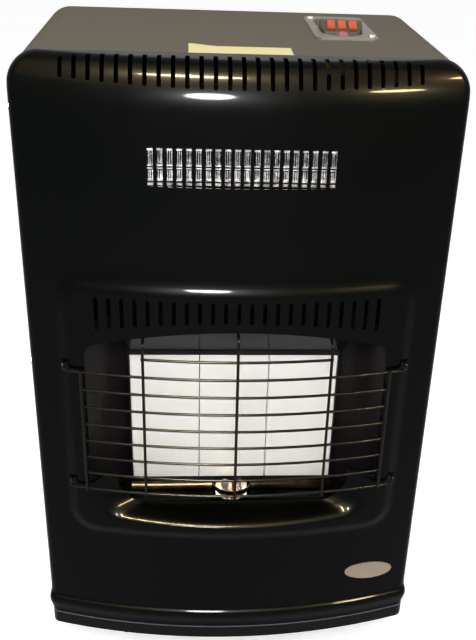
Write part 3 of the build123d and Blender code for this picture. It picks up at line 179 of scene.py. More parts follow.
def corner(before, at, after, radius, steps=6):
    """Points of an arc that rounds the corner `at` of a wire."""
    a, p, b = Vector(before), Vector(at), Vector(after)
    u, v = (a - p).normalized(), (b - p).normalized()
    half_angle = u.angle(v) / 2
    back = radius / (sin(half_angle) / cos(half_angle))
    centre = p + (u + v).normalized() * radius / sin(half_angle)
    start, end = p + u * back - centre, p + v * back - centre
    return [centre + start.slerp(end, n / steps) * radius for n in range(steps + 1)]


# ------------------------------------------------------------------ materials
def shader(name, color, rough, metal=0.0, specular=0.5, coat=0.0, coat_rough=0.05):
    """Principled material with its constants on its own sockets."""
    material = bpy.data.materials.new(name)
    material.use_nodes = True
    surface = material.node_tree.nodes["Principled BSDF"]
    surface.inputs["Base Color"].default_value = (*color, 1)
    surface.inputs["Roughness"].default_value = rough
    surface.inputs["Metallic"].default_value = metal
    surface.inputs["Specular IOR Level"].default_value = specular
    surface.inputs["Coat Weight"].default_value = coat
    surface.inputs["Coat Roughness"].default_value = coat_rough
    return material


def noise_on(material, scale, detail=3.0, stretch=(1, 1, 1)):
    """Noise over Object coordinates."""
    nodes, links = material.node_tree.nodes, material.node_tree.links
    where = nodes.new("ShaderNodeTexCoord")
    mapping = nodes.new("ShaderNodeMapping")
    mapping.inputs["Scale"].default_value = stretch
    noise = nodes.new("ShaderNodeTexNoise")
    noise.inputs["Scale"].default_value = scale
    noise.inputs["Detail"].default_value = detail
    links.new(where.outputs["Object"], mapping.inputs["Vector"])
    links.new(mapping.outputs["Vector"], noise.inputs["Vector"])
    return noise


def mapped(material, value, low, high, out_low=0.0, out_high=1.0):
    """Maps a value from low..high to another range."""
    node = material.node_tree.nodes.new("ShaderNodeMapRange")
    sockets = "From Min", "From Max", "To Min", "To Max"
    for socket, number in zip(sockets, (low, high, out_low, out_high)):
        node.inputs[socket].default_value = number
    material.node_tree.links.new(value, node.inputs["Value"])
    return node.outputs["Result"]


def color_by(material, value, dark, light, low=0.0, high=1.0):
    """Runs the base colour from dark to light over a value."""
    nodes, links = material.node_tree.nodes, material.node_tree.links
    ramp = nodes.new("ShaderNodeValToRGB")
    for stop, place, color in zip(ramp.color_ramp.elements, (low, high), (dark, light)):
        stop.position = place
        stop.color = (*color, 1)
    links.new(value, ramp.inputs["Fac"])
    links.new(ramp.outputs["Color"], nodes["Principled BSDF"].inputs["Base Color"])


def vary_rough(material, noise, low, high):
    """Spreads the roughness over the middle of a noise."""
    nodes, links = material.node_tree.nodes, material.node_tree.links
    rough = mapped(material, noise.outputs["Fac"], 0.3, 0.7, low, high)
    links.new(rough, nodes["Principled BSDF"].inputs["Roughness"])


def vary_color(material, noise, dark, light):
    """Spreads the base colour over the middle of a noise."""
    color_by(material, noise.outputs["Fac"], dark, light, 0.35, 0.65)


def cells_on(material, scale, randomness=1.0):
    """Voronoi cells over Object coordinates."""
    nodes, links = material.node_tree.nodes, material.node_tree.links
    cells = nodes.new("ShaderNodeTexVoronoi")
    cells.inputs["Scale"].default_value = scale
    cells.inputs["Randomness"].default_value = randomness
    links.new(nodes.new("ShaderNodeTexCoord").outputs["Object"], cells.inputs["Vector"])
    return cells


def bump(material, height, strength, distance):
    """Relief from a height, its full depth given in metres."""
    nodes, links = material.node_tree.nodes, material.node_tree.links
    relief = nodes.new("ShaderNodeBump")
    relief.inputs["Strength"].default_value = strength
    relief.inputs["Distance"].default_value = distance
    links.new(height, relief.inputs["Height"])
    links.new(relief.outputs["Normal"], nodes["Principled BSDF"].inputs["Normal"])


def grain_on(material, scale, strength=0.04):
    """Fine relief that breaks a reflection a little."""
    bump(material, noise_on(material, scale, 1).outputs["Fac"], strength, 0.0001)


def black_enamel():
    """Glossy stoved enamel with a faint orange peel."""
    black = (0.0002, 0.0008, 0.0005)
    m = shader("black_enamel", black, 0.3, specular=0.018, coat=0.052, coat_rough=0.06)
    vary_rough(m, noise_on(m, 14), 0.27, 0.33)
    bump(m, noise_on(m, 260, 1).outputs["Fac"], 0.012, 0.0004)
    return m


def satin_paint():
    """Powder coat with a fine grain, for the wrap and the door."""
    m = shader("satin_paint", (0.155, 0.134, 0.107), 0.6, specular=0.0)
    vary_color(m, noise_on(m, 900, 2), (0.139, 0.12, 0.095), (0.172, 0.149, 0.12))
    vary_rough(m, noise_on(m, 60), 0.56, 0.66)
    bump(m, noise_on(m, 1400, 1).outputs["Fac"], 0.12, 0.0002)
    return m


def plinth_paint():
    """Dark paint, with a painted highlight along the ledge under the panel."""
    dark, ledge_highlight = (0.0035, 0.004, 0.0055), (0.13, 0.145, 0.17)
    m = shader("plinth_paint", dark, 0.3, specular=0.05)
    vary_rough(m, noise_on(m, 120), 0.26, 0.38)
    grain_on(m, 700)
    nodes, links = m.node_tree.nodes, m.node_tree.links
    place = nodes.new("ShaderNodeSeparateXYZ")
    links.new(nodes.new("ShaderNodeTexCoord").outputs["Object"], place.inputs["Vector"])
    # Painted highlight: a paler band just under the panel's bottom edge, where the ledge would
    # catch the light.
    ledge = mapped(m, place.outputs["Z"], panel_bottom - 0.9 * mm, panel_bottom - 0.2 * mm)
    color_by(m, ledge, dark, ledge_highlight)
    return m


def galvanised():
    """Zinc-coated sheet with its spangle."""
    m = shader("galvanised", (0.42, 0.43, 0.45), 0.38, metal=0.9)
    color_by(m, cells_on(m, 90).outputs["Color"], (0.32, 0.33, 0.35), (0.52, 0.53, 0.55))
    vary_rough(m, noise_on(m, 60), 0.3, 0.46)
    grain_on(m, 500)
    return m


def polished():
    """Bright rolled steel of the reflectors, a little smeared."""
    m = shader("polished", (0.62, 0.62, 0.64), 0.1, metal=1.0)
    vary_rough(m, noise_on(m, 30, 3, (1, 1, 6)), 0.06, 0.16)
    grain_on(m, 300)
    return m


def dark_mirror_hood():
    """Hood over the plaques, coloured dark and bluish as a painted reflection of a dark room."""
    m = shader("dark_mirror_hood", (0.008, 0.009, 0.012), 0.18, specular=0.012)
    vary_rough(m, noise_on(m, 25), 0.14, 0.24)
    grain_on(m, 300)
    return m


def dark_mirror_steel():
    """Reflector cheeks, coloured near black as a painted reflection of a dark room, with faint
    purple and straw painted reflections.
    """
    m = shader("dark_mirror_steel", (0.008, 0.007, 0.008), 0.16, specular=0.06)
    # Painted reflection: patches running from purple to straw over the near-black base.
    vary_color(m, noise_on(m, 18, 2, (1, 1, 0.4)), (0.005, 0.004, 0.007), (0.012, 0.01, 0.009))
    vary_rough(m, noise_on(m, 25), 0.1, 0.24)
    grain_on(m, 300)
    return m


def ceramic():
    """Pierced ceramic plaque: a fine grid of burner holes in white, with painted shade in the
    holes.
    """
    m = shader("ceramic", (0.88, 0.87, 0.84), 0.75, specular=0.2)
    holes = cells_on(m, 480, randomness=0.0)
    edge = mapped(m, holes.outputs["Distance"], 0.18, 0.34)
    # Painted shade: greyer in the burner holes, paler on the ceramic between them.
    color_by(m, edge, (0.62, 0.6, 0.56), (0.9, 0.89, 0.86))
    vary_rough(m, noise_on(m, 50), 0.7, 0.82)
    bump(m, edge, 0.3, 0.0004)
    return m


def wire_enamel():
    """Enamel of the guard's wires."""
    m = shader("wire_enamel", (0.006, 0.005, 0.004), 0.2, specular=0.07)
    vary_rough(m, noise_on(m, 90), 0.16, 0.26)
    grain_on(m, 600)
    return m


def grained(name, color, rough=0.45, specular=0.4, grain=0.08):
    """Moulded plastic with a light grain."""
    m = shader(name, color, rough, specular=specular)
    vary_rough(m, noise_on(m, 70), rough - 0.06, rough + 0.08)
    bump(m, noise_on(m, 1600, 1).outputs["Fac"], grain, 0.0001)
    return m


def metal(name, dark, light, rough, scale=40):
    """Bare metal that runs from dark to light in soft patches."""
    m = shader(name, light, rough, metal=1.0)
    vary_color(m, noise_on(m, scale, 2), dark, light)
    vary_rough(m, noise_on(m, scale * 2, 2), rough - 0.05, rough + 0.08)
    grain_on(m, 400)
    return m


finishes = {
    "gloss_black": black_enamel(),
    "satin_grey": satin_paint(),
    "plinth_grey": plinth_paint(),
    "dark_wire": wire_enamel(),
    "galvanised": galvanised(),
    "polished": polished(),
    "plaque_white": ceramic(),
    "bezel_grey": grained("bezel_grey", (0.17, 0.16, 0.15), 0.5, 0.15),
    "rocker_orange": grained("rocker_orange", (0.55, 0.11, 0.045), 0.4, 0.03, 0.02),
    "lens_pink": grained("lens_pink", (0.42, 0.16, 0.17), 0.3, 0.1, 0.02),
    "black_plastic": grained("black_plastic", (0.02, 0.02, 0.02)),
    "brass": metal("brass", (0.5, 0.34, 0.12), (0.7, 0.5, 0.2), 0.3),
    "copper": metal("copper", (0.45, 0.2, 0.1), (0.72, 0.38, 0.24), 0.28),
    "zinc_steel": metal("zinc_steel", (0.4, 0.4, 0.42), (0.56, 0.56, 0.57), 0.32),
    "castor_black": grained("castor_black", (0.018, 0.018, 0.018), 0.5, 0.3, 0.1),
}
slots = {part["node"]: part["material_slot"] for part in frame["record"]["subparts"]}
cheeks, shade_black = dark_mirror_steel(), grained("shade_black", (0.012, 0.012, 0.013), 0.6, 0.005)
own_finish = {                                         # nodes that differ from their slot
    **dict.fromkeys(("reflector_left", "reflector_right", "burner_plenum"), cheeks),
    # Painted shade: the fan, top deflector and heat shield are near black for the shade inside the
    # cabinet, seen through the slots.
    **dict.fromkeys(("fan_rotor", "fan_housing", "top_deflector", "heat_shield"), shade_black),
    # Painted reflection: the bottom reflector's chrome is coloured near black for the dark room it
    # mirrors.
    "reflector_bottom": metal("dark_mirror_chrome", (0.0012, 0.001, 0.001), (0.006, 0.005, 0.0047),
                              0.12, 25),
    "reflector_top": dark_mirror_hood(),
    "pilot_cup": metal("cup_steel", (0.1, 0.1, 0.11), (0.3, 0.3, 0.32), 0.14, 60),
    # Painted shade: the valve's brass is coloured near black for the shade inside the cabinet,
    # behind the slots.
    "gas_valve": metal("shaded_brass", (0.01, 0.007, 0.003), (0.026, 0.018, 0.008), 0.5),
    "switch_pod": grained("pod_grey", (0.035, 0.032, 0.03), 0.45, 0.2),
}
for node, solid in frame["nodes"].items():
    solid.data.materials.clear()
    solid.data.materials.append(own_finish.get(node, finishes[slots[node]]))
    smooth(solid, 28)


def dress(piece, slot, body, *nodes, finish=None):
    """Gives a piece its finish, its body and the solids that it stands for."""
    piece.data.materials.clear()
    piece.data.materials.append(finish or finishes[slot])
    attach(piece, body)
    if nodes:
        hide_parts(*nodes)


# ------------------------------------------------------------------ front panel
# Numbers without mm are millimetres too: x from the middle, heights from the panel's bottom edge.
emboss = 4.5 * mm                                      # how far the surround stands out
surround_half, surround_low, surround_high = 182, 128, 438.5
surround_corner, surround_slope = 32, 15.5
opening_half, opening_low, opening_corner = 153, 205, 16
opening_side_high, opening_high = 363, 386.5           # top's height, sides and middle
opening_foot = 3                                       # radius at the foot of the opening's sides
sill_half, sill_low, sill_corner, sill_depth = 126, 161, 30, -8
lip_half, lip_low, lip_corner, lip_depth = 214, 145, 60, -50
sill_sag = 3.5
scoop_half, scoop_low, scoop_high = 200, 100, 250      # where the scoop is looked for
scoop_reach, scoop_shares, scoop_halvings = 230, (-0.3, 1.4), 26
bead_side, bead_front, bead_top = 2.5 * mm, 3.5 * mm, 34
soft_edge = 9 * mm                                     # how softly the scoop's lip turns


def ease(t):
    """Soft step from 0 to 1."""
    t = min(max(t, 0), 1)
    return t * t * (3 - 2 * t)


def box_distance(x, z, half_x, low, high, radius):
    """Distance inside (positive) a rounded rectangle, in millimetres."""
    qx = abs(x) - half_x + radius
    qz = abs(z - (low + high) / 2) - (high - low) / 2 + radius
    outside = hypot(max(qx, 0), max(qz, 0))
    return radius - outside - min(max(qx, qz), 0)


def scoop_y(x, z):
    """Depth of the scoop's face under the opening, where its U-shaped outline passes (x, z)."""
    high = opening_low + scoop_reach                   # far up, so that only the U is met
    low_s, high_s = scoop_shares                       # 0 is the lip's outline and 1 the sill's
    for _ in range(scoop_halvings):
        s = (low_s + high_s) / 2
        half_x = lip_half + (sill_half - lip_half) * s
        low = lip_low + (sill_low - lip_low) * s
        radius = lip_corner + (sill_corner - lip_corner) * s
        sag = sill_sag * min((x / half_x) ** 2, 1)
        if box_distance(x, z - sag, half_x, low, high, radius) > 0:
            low_s = s
        else:
            high_s = s
    return lip_depth + (sill_depth - lip_depth) * low_s


def press(x, y, z):
    """Depth of the pressed face at a point of the plain bowed face, all in metres."""
    px, pz = x / mm, (z - panel_bottom) / mm
    inside = box_distance(px, pz, surround_half, surround_low, surround_high, surround_corner)
    y = y - emboss * ease(inside / surround_slope)
    if scoop_low < pz < scoop_high and abs(px) < scoop_half:
        hollow = deep(scoop_y(px, pz))
        gap = abs(y - hollow)
        y = max(y, hollow) + max(soft_edge - gap, 0) ** 2 / (4 * soft_edge)
    return y


def plan(side, front):
    """Half of the panel's plan: its corner's centre and where its bow and its side begin."""
    x, reach = width / 2 - side - edge_radius, bow_radius - front - edge_radius
    y = bow_centre - sqrt(reach ** 2 - x ** 2)
    return x, y, atan2(x, bow_centre - y)


def evenly(start, step, count):
    """Numbers at even steps."""
    return [start + step * n for n in range(count)]


# Places across, closer over the surround's side.
bow_places = evenly(0, 3.5, 42) + evenly(147, 1.5, 26) + evenly(186, 2.4, 7)
plain = plan(0, 0)
bow_shares = [asin(x * mm / bow_radius) / plain[2] for x in bow_places]
bow_shares = [share for share in bow_shares if share < 0.995] + [1.0]
corner_steps, flange_steps = 9, 3
# Levels with the bead's share there, then plain ones: closer at the scoop, at the surround's top
# and at the roll.
levels = [(0, -0.4), (0.8, -0.1), (1.6, 0), (3, 0.02), (6, 0.1), (9, 0.3), (12, 0.56), (15, 0.8),
          (17.5, 0.96), (19.5, 1), (21.5, 0.99), (22.8, 0.94), (23.8, 0.84), (24.6, 0.66),
          (25.4, 0.44), (26.2, 0.23), (27, 0.08), (27.8, 0.01), (28.8, -0.03), (30, -0.02),
          (32, 0), (38, 0)]
for stretch in ((50, 15, 6), (126, 1.5, 54), (208, 5, 42),
                (417, 1.5, 11), (440, 10, 16), (598, 2.4, 6)):
    levels += [(z, 0) for z in evenly(*stretch)]
roll_steps, crown_steps = 16, 3
columns = 2 * (len(bow_shares) + corner_steps + flange_steps) - 1
rows = len(levels) + roll_steps + crown_steps
corner_room = 6 * mm                                   # where the rolled corners are held back
seam_step = 0.3 * mm                                   # between the last columns along the seam


def roll_lean(z):
    """How far the panel's front has leaned back at a height."""
    share = min(max((z - top_z + roll_reach) / roll_reach, 0), 1)
    return roll_depth * (1 - sqrt(1 - share ** 2))


def held(y):
    """Keeps a point of the rolled corners ahead of the seam."""
    past = y - (seam_y - corner_room)
    return y if past <= 0 else seam_y - corner_room * exp(-past / corner_room)


def level_sizes(row):
    """Height of a row, how far its side and front are drawn in, and its share of the way back."""
    if row < len(levels):
        z, share = levels[row]
        swell = sin(pi * min(z / bead_top, 1)) ** 2
        return up(z), -bead_side * swell, roll_lean(up(z)) - bead_front * share, 0
    step = row - len(levels) + 1
    turn = min(step, roll_steps) / roll_steps * pi / 2
    z = top_z - roll_height + roll_height * sin(turn)
    return z, roll_height * (1 - cos(turn)), roll_lean(z), max(step - roll_steps, 0) / crown_steps


def panel_row(row):
    """Points of one level of the panel, left to right."""
    z, side, front, crown = level_sizes(row)
    corner_x, corner_y, spread = plan(side, front)
    right = []
    for share in bow_shares:
        angle = share * spread
        x, y = (bow_radius - front) * sin(angle), bow_centre - (bow_radius - front) * cos(angle)
        right.append((x, press(x, y, z) if row < len(levels) else held(y)))
    for step in range(1, corner_steps + 1):
        angle = -pi / 2 + spread + (pi / 2 - spread) * step / corner_steps
        x, y = corner_x + edge_radius * cos(angle), corner_y + edge_radius * sin(angle)
        right.append((x, held(y)))
    turn_y = held(corner_y)
    for step in range(1, flange_steps + 1):
        right.append((corner_x + edge_radius, turn_y + (seam_y - turn_y) * step / flange_steps))
    last = len(right) - 1
    edge = [seam_y - seam_step * min(last - n, flange_steps) for n in range(last + 1)]
    right = [(x, y + (end - y) * crown, z) for (x, y), end in zip(right, edge)]
    return [(-x, y, z) for x, y, z in right[:0:-1]] + right


def pressed_panel():
    """The panel's skin: a grid bent over the bow, the roll and the pressings."""
    deselect()
    bpy.ops.mesh.primitive_grid_add(x_subdivisions=columns - 1, y_subdivisions=rows - 1, size=1)
    skin = named("pressed_panel")
    grid = skin.data
    across = sorted({round(v.co.x, 5) for v in grid.vertices})
    along = sorted({round(v.co.y, 5) for v in grid.vertices})
    column_at = {x: n for n, x in enumerate(across)}
    row_at = {y: n for n, y in enumerate(along)}
    places = [panel_row(row) for row in range(rows)]
    for v in grid.vertices:
        v.co = places[row_at[round(v.co.y, 5)]][column_at[round(v.co.x, 5)]]
    wall = skin.modifiers.new("wall", "SOLIDIFY")
    wall.thickness = sheet
    wall.offset = -1
    apply_all(skin)
    return skin


# Air slots: how many, their pitch, their ends' heights and how far their row sags at its end.
slot_across, outlet_across = 4 * mm, 5.35 * mm
top_slots, top_pitch, top_low, top_span, top_sag, top_back = 27, 12.36, 617.5, 210, 7, 3
brow_slots, brow_pitch, brow_low, brow_high, brow_sag = 23, 12.6, 396, 418, 16
outlet_slots, outlet_pitch, outlet_low, outlet_high = 20, 8.75, 530.5, 567
ahead = face_y - 2 * bow                               # where the cutters begin
past_top, past_seam = 20 * mm, 2 * mm                  # how far they reach
slot_rounding = 0.42                                   # share of the slot's width


def slot_tool(x, low, high, across, back=seam_y + past_seam, round_ends=True):
    """Cutter for one air slot, from the front to `back`, rounded at its ends and its back."""
    tool = block("slot", (x - across / 2, ahead, low), (x + across / 2, back, high))
    if round_ends:
        rounding = tool.modifiers.new("ends", "BEVEL")
        rounding.width = across * slot_rounding
        rounding.segments = 4
        rounding.affect = "EDGES"
        rounding.limit_method = "WEIGHT"
        weights = tool.data.attributes.new("bevel_weight_edge", "FLOAT", "EDGE")
        for n, edge in enumerate(tool.data.edges):
            a, b = (tool.data.vertices[k].co for k in edge.vertices)
            along_y = abs(a.y - b.y) > across
            upright = abs(a.z - b.z) > across and a.y > face_y
            weights.data[n].value = 1.0 if along_y or upright else 0.0
        apply_all(tool)
    return tool


def arch(span, sag, x):
    """How far an arched line has dropped at a distance from its middle."""
    return sag * (x / span) ** 2


def spaced(count, pitch):
    """Places of a row about the middle."""
    return [(n - (count - 1) / 2) * pitch for n in range(count)]


def slot_tools():
    """Cutters for the slots in the roll, over the opening and in the outlet."""
    tools = []
    for x in spaced(top_slots, top_pitch):
        low = up(top_low + arch(top_span, top_sag, x))
        tools.append(slot_tool(x * mm, low, top_z + past_top, slot_across, deep(top_back)))
    for x in spaced(brow_slots, brow_pitch):
        low = up(brow_low - arch(opening_half, brow_sag, x))
        tools.append(slot_tool(x * mm, low, up(brow_high), slot_across))
    for x in spaced(outlet_slots, outlet_pitch):
        tools.append(slot_tool(x * mm, up(outlet_low), up(outlet_high), outlet_across,
                               round_ends=False))
    return tools


def arc(x, z, radius, first, last, count, start=1):
    """Points on an arc, its angles from straight up towards the right."""
    turns = [first + (last - first) * n / count for n in range(start, count + 1)]
    return [(x + radius * sin(turn), z + radius * cos(turn)) for turn in turns]


def opening_outline():
    """The radiant opening's edge, in millimetres: arched top, straight sides, scooped sill."""
    rise = opening_high - opening_side_high
    arch_radius = (opening_half ** 2 + rise ** 2) / (2 * rise)
    centre = opening_high - arch_radius
    corner_x = opening_half - opening_corner
    corner_z = centre + sqrt((arch_radius - opening_corner) ** 2 - corner_x ** 2)
    lean = atan2(corner_x, corner_z - centre)
    foot_x, foot_z = opening_half - opening_foot, opening_low + opening_foot
    flat_half = sill_half - sill_corner
    right = arc(0, centre, arch_radius, 0, lean, 30, start=0)
    right += arc(corner_x, corner_z, opening_corner, lean, pi / 2, 8)
    right += [(opening_half, foot_z), *arc(foot_x, foot_z, opening_foot, pi / 2, pi, 5)]
    right.append((sill_half, opening_low))
    for x, z in arc(flat_half, sill_low + sill_corner, sill_corner, pi / 2, pi, 8, start=0):
        right.append((x, z + arch(sill_half, sill_sag, x)))
    for n in range(1, 13):
        x = flat_half * (1 - n / 12)
        right.append((x, sill_low + arch(sill_half, sill_sag, x)))
    return right + [(-x, z) for x, z in right[-2:0:-1]]


def outline_tool(name, outline, front, back):
    """Solid bounded by an outline facing forward, between two depths."""
    deselect()
    bpy.ops.mesh.primitive_circle_add(vertices=len(outline), radius=1, fill_type="NGON")
    tool = named(name)
    for v, (x, z) in zip(tool.data.vertices, outline):
        v.co = (x * mm, front, up(z))
    pick(tool)
    bpy.ops.object.mode_set(mode="EDIT")
    bpy.ops.mesh.select_all(action="SELECT")
    bpy.ops.mesh.extrude_region_move(TRANSFORM_OT_translate={"value": (0, back - front, 0)})
    bpy.ops.mesh.select_all(action="SELECT")
    bpy.ops.mesh.normals_make_consistent(inside=False)
    bpy.ops.object.mode_set(mode="OBJECT")
    return tool


# The guard's rows and hooks are here because its hooks pass through the panel.
guard_rows, guard_top, guard_pitch = 9, 356, 20.23
hooked_rows, hook_rise, hook_x, hook_hole = (1, 8), 7, 175, 2.2


def row_z(row):
    """Height of a row of the guard."""
    return up(guard_top - row * guard_pitch)


panel = pressed_panel()
tools = slot_tools() + [outline_tool("opening", opening_outline(), ahead, seam_y + past_seam)]
for row in hooked_rows:
    z = row_z(row) + hook_rise * mm
    for x in (-hook_x * mm, hook_x * mm):
        tools.append(block("hook_hole", (x - hook_hole * mm, ahead, z - hook_hole * mm),
                           (x + hook_hole * mm, seam_y, z + hook_hole * mm)))
cut(panel, join("panel_tools", tools))
smooth(panel, 32)
dress(panel, "gloss_black", "cabinet", "front_panel")

# ------------------------------------------------------------------ wire guard
guard_wire = 1.5 * mm                                  # radius
wire_line = emboss + 2.5 * mm + guard_wire             # ahead of the panel's bow
guard_radius = bow_radius + wire_line
post_radius = guard_radius + 2 * guard_wire - 0.5 * mm
bend = 3 * mm
side_reach, post_reach = 159 * mm, 96 * mm             # half of a full row and of the top one
post_places, side_places = (-94, 0, 94), (-157, 157)
post_end = 2 * mm                                      # a post's end past the last wire
post_drop = 4.5                                        # below the opening's top
post_tip, hook_tip = 18 * mm, 9 * mm                   # how far the turned ends reach back


def on_arc(x, radius):
    """Place on a bow with the panel's centre."""
    return x, bow_centre - sqrt(radius ** 2 - x ** 2)


def bowed(half_x, z):
    """Points of a horizontal wire."""
    count = int(half_x / (5 * mm)) * 2
    xs = [half_x * (2 * n / count - 1) for n in range(count + 1)]
    return [(*on_arc(x, guard_radius), z) for x in xs]


def hooked(z):
    """Points of a wire whose ends rise and turn back through the panel."""
    x, y = on_arc(hook_x * mm, guard_radius)
    high = z + hook_rise * mm
    ends = []
    for side in (-1, 1):
        at, above = (side * x, y, z), (side * x, y, high)
        tip = (side * x, y + wire_line + hook_tip, high)
        foot = corner((side * (x - 2 * bend), y, z), at, above, bend)
        ends.append([*foot, *corner(at, above, tip, bend), tip])
    return [*reversed(ends[0]), *bowed(hook_x * mm - bend, z), *ends[1]]


def guard():
    """All the wires: the rows, the posts hooked over the opening's top, and the side posts."""
    routes = []
    for row in range(guard_rows):
        if row in hooked_rows:
            routes.append(hooked(row_z(row)))
        else:
            routes.append(bowed(post_reach if row == 0 else side_reach, row_z(row)))
    low = row_z(guard_rows - 1) - post_end
    for place in post_places:
        x, y = on_arc(place * mm, post_radius)
        drop = post_drop + arch(opening_half, opening_high - opening_side_high, place)
        high = up(opening_high - drop)
        foot, top, tip = (x, y, low), (x, y, high), (x, y + post_tip, high)
        routes.append([foot, (x, y, (low + high) / 2), *corner(foot, top, tip, bend), tip])
    for place in side_places:
        x, y = on_arc(place * mm, post_radius)
        routes.append([(x, y, low), (x, y, row_z(hooked_rows[0]) + post_end)])
    return tube("guard_wires", routes, guard_wire)


dress(guard(), "dark_wire", "cabinet", "wire_guard")

# ------------------------------------------------------------------ heating element
element_depth, element_half, element_end = 12 * mm, 90 * mm, 3 * mm
fin_front, fin_back, fin_sway = 1 * mm, 2 * mm, 0.2
# Rails: low, high and how far back. Rows of fins: low, high and thickness.
rails = (529, 531.4, 0), (533.2, 535, 0), (544.2, 545.3, 0.5), (546.8, 548, 0.5), (561.2, 563, 0)
fin_rows = (535, 543, 0.85), (548, 561.2, 0.4)
fin_count, fin_pitch = outlet_slots * 5, outlet_pitch / 5


def element():
    """Bright fins between rails, five to each cell of the outlet."""
    low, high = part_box("heating_element")
    front, back = low[1], low[1] + element_depth
    parts = []
    for bottom, top, set_back in rails:
        parts.append(block("rail", (-element_half, front + set_back * mm, up(bottom)),
                           (element_half, back, up(top))))
    for n, x in enumerate(spaced(fin_count, fin_pitch)):
        for bottom, top, thick in fin_rows:
            middle, half = (x + fin_sway * sin(n * 2.1)) * mm, thick / 2 * mm
            parts.append(block("fin", (middle - half, front + fin_front, up(bottom)),
                               (middle + half, back - fin_back, up(top))))
    for middle in (-element_half - element_end, element_half + element_end):
        parts.append(block("end", (middle - element_end, front + fin_front, low[2]),
                           (middle + element_end, high[1], high[2])))
    return join("element_fins", parts)


fins = element()
smooth(fins, 30)
bright_fins = metal("bright_fins", (0.2, 0.2, 0.22), (0.5, 0.5, 0.54), 0.3, 120)
dress(fins, "galvanised", "cabinet", "heating_element", finish=bright_fins)

# ------------------------------------------------------------------ badge and strip, both blank
badge_x, badge_z, badge_half_x, badge_half_z, badge_thick = 160, 67, 29, 11.5, 1.2
badge_turn, badge_rim, badge_recess = radians(7), 1.4, 0.4


def badge():
    """Oval plate on the panel's bow, with a rim round its blank face."""
    deselect()
    bpy.ops.mesh.primitive_circle_add(vertices=96, radius=1, fill_type="NGON")
    plate = named("badge")
    for v in plate.data.vertices:
        along, across = badge_half_x * v.co.x, badge_half_z * v.co.y
        x = badge_x + along * cos(badge_turn) + across * sin(badge_turn)
        z = badge_z - along * sin(badge_turn) + across * cos(badge_turn)
        v.co = (*on_arc(x * mm, bow_radius), up(z))
    pick(plate)
    bpy.ops.object.mode_set(mode="EDIT")
    bpy.ops.mesh.select_all(action="SELECT")
    bpy.ops.mesh.extrude_region_move(TRANSFORM_OT_translate={"value": (0, -badge_thick * mm, 0)})
    bpy.ops.mesh.inset(thickness=badge_rim * mm)
    bpy.ops.mesh.extrude_region_move(TRANSFORM_OT_translate={"value": (0, badge_recess * mm, 0)})
    bpy.ops.mesh.select_all(action="SELECT")
    bpy.ops.mesh.normals_make_consistent(inside=False)
    bpy.ops.object.mode_set(mode="OBJECT")
    bevel(plate, 0.25 * mm)
    apply_all(plate)
    smooth(plate)
    return plate


champagne = grained("champagne", (0.27, 0.215, 0.16), 0.4, 0.3, 0.03)
dress(badge(), "brass", "cabinet", finish=champagne)

wrap_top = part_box("cabinet_wrap")[1][2]
strip_low, strip_high = (-48.8, 3), (47, 58)           # corners, x and depth
strip_gap, strip_thick, strip_lift = 0.15, 0.12, 2.0
lifted_across, lifted_along = 0.3, 0.55                # shares of the sheet where the lift begins


def strip():
    """Blank yellow paper strip on the top, its far left corner a little lifted."""
    deselect()
    bpy.ops.mesh.primitive_grid_add(x_subdivisions=32, y_subdivisions=18, size=1)
    paper = named("yellow_strip")
    for v in paper.data.vertices:
        across, along = v.co.x + 0.5, v.co.y + 0.5
        x = strip_low[0] + (strip_high[0] - strip_low[0]) * across
        y = strip_low[1] + (strip_high[1] - strip_low[1]) * along
        lift = strip_lift * ease(1 - across / lifted_across)
        lift *= ease((along - lifted_along) / (1 - lifted_along))
        v.co = (x * mm, deep(y), wrap_top + (strip_gap + lift) * mm)
    wall = paper.modifiers.new("wall", "SOLIDIFY")
    wall.thickness = strip_thick * mm
    wall.offset = 1
    apply_all(paper)
    smooth(paper, 40)
    return paper


label_paper = grained("label_paper", (0.68, 0.6, 0.28), 0.55, 0.3, 0.03)
dress(strip(), "satin_grey", "cabinet", finish=label_paper)

# ------------------------------------------------------------------ floor, light and camera
deselect()
bpy.ops.mesh.primitive_plane_add(size=14, location=(0, 0, 0))
floor = named("floor")


def seen_directly(nodes, links):
    """1 for rays from the camera and for those by gloss or glass, 0 for light that spreads."""
    path = nodes.new("ShaderNodeLightPath")
    seen = path.outputs["Is Camera Ray"]
    for kind in ("Is Glossy Ray", "Is Transmission Ray"):
        either = nodes.new("ShaderNodeMath")
        either.operation = "MAXIMUM"
        links.new(seen, either.inputs[0])
        links.new(path.outputs[kind], either.inputs[1])
        seen = either.outputs[0]
    return seen


def white_floor():
    """Matt white paint that keeps its shadows and otherwise reads as white."""
    m = shader("floor_paint", (0.8, 0.8, 0.8), 0.9, specular=0.1)
    vary_color(m, noise_on(m, 3), (0.79, 0.79, 0.79), (0.81, 0.81, 0.81))
    nodes, links = m.node_tree.nodes, m.node_tree.links
    lift = mapped(m, seen_directly(nodes, links), 0, 1, 0, 0.55)
    nodes["Principled BSDF"].inputs["Emission Color"].default_value = (1, 1, 1, 1)
    links.new(lift, nodes["Principled BSDF"].inputs["Emission Strength"])
    return m


floor.data.materials.append(white_floor())

world = bpy.data.worlds.new("studio")
bpy.context.scene.world = world
world.use_nodes = True
backdrop = world.node_tree.nodes["Background"]
backdrop.inputs["Color"].default_value = (1, 1, 1, 1)
as_light, as_seen = 0.5, 1.0
seen = seen_directly(world.node_tree.nodes, world.node_tree.links)
world.node_tree.links.new(mapped(world, seen, 0, 1, as_light, as_seen), backdrop.inputs["Strength"])


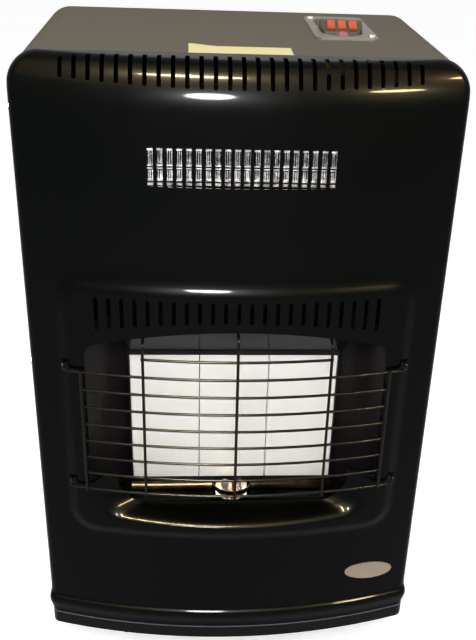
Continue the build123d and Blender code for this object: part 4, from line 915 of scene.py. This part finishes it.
def lamp(name, place, aim, size, power, tint=(1, 1, 1), streak=False):
    """Soft box. A streak shows only in glossy finishes and adds no light of its own."""
    light = bpy.data.lights.new(name, "AREA")
    light.shape = "ELLIPSE" if streak else "RECTANGLE"
    light.size, light.size_y = size
    light.energy = power
    light.color = tint
    holder = bpy.data.objects.new(name, light)
    bpy.context.collection.objects.link(holder)
    holder.location = place
    holder.rotation_euler = (Vector(aim) - Vector(place)).to_track_quat("-Z", "Y").to_euler()
    holder.visible_camera = False
    holder.visible_diffuse = not streak
    holder.visible_glossy = streak


# Two soft boxes light the heater. The streaks are what its enamel mirrors: a small lamp beside
# the camera, a warm ceiling and three strips.
amber, straw = (1, 0.62, 0.28), (1, 0.8, 0.42)
lamp("front_soft", (-0.15, -1.5, 1.3), (0, -0.2, 0.4), (0.6, 0.6), 20)
lamp("top_soft", (0.2, 0.3, 2.6), (0, 0, 0.6), (1.6, 1.6), 10)
lamp("flash", (-0.09, -1.06, 0.85), (0, -0.2, 0.45), (0.2, 0.12), 32, streak=True)
lamp("ceiling", (0, -1.6, 2.5), (0, -0.2, 0.6), (5, 3), 110, amber, streak=True)
lamp("strip_left", (-0.24, -1.35, 2.0), (-0.03, -0.2, 0.7), (0.7, 0.14), 340, straw, streak=True)
lamp("strip_right", (0.98, -1.35, 1.18), (0.13, -0.2, 0.69), (0.36, 0.1), 55, straw, streak=True)
lamp("strip_corner", (1.178, -0.754, 1.501), (0.185, -0.18, 0.7), (0.22, 0.1), 36, amber,
     streak=True)

# The camera stands where the photograph's did: f and its centre in pixels of a 476 by 640 frame.
focal, centre_px, frame_px = 955.89, (264.38, 370.25), (476, 640)
camera_place = (-44.14 * mm, deep(-872.59), up(803.14))
yaw, pitch, roll = radians(-4.847), radians(28.634), radians(2.369)
camera = bpy.data.cameras.new("camera")
holder = bpy.data.objects.new("camera", camera)
bpy.context.collection.objects.link(holder)
bpy.context.scene.camera = holder
camera.sensor_width = 36
camera.lens = focal / frame_px[1] * camera.sensor_width
camera.shift_x = -(centre_px[0] - frame_px[0] / 2) / frame_px[1]
camera.shift_y = (centre_px[1] - frame_px[1] / 2) / frame_px[1]
heading = Matrix(((cos(yaw), sin(yaw), 0), (-sin(yaw), cos(yaw), 0), (0, 0, 1)))
axes = Matrix(((1, 0, 0), (0, 0, -1), (0, 1, 0)))      # right, down, forward
tip = Matrix(((1, 0, 0), (0, cos(pitch), -sin(pitch)), (0, sin(pitch), cos(pitch))))
lean = Matrix(((cos(roll), -sin(roll), 0), (sin(roll), cos(roll), 0), (0, 0, 1)))
turn = lean @ tip @ axes @ heading
look = Matrix((turn[0], -turn[1], -turn[2])).transposed()
holder.matrix_world = Matrix.Translation(camera_place) @ look.to_4x4()
bpy.context.scene.view_settings.view_transform = "Standard"
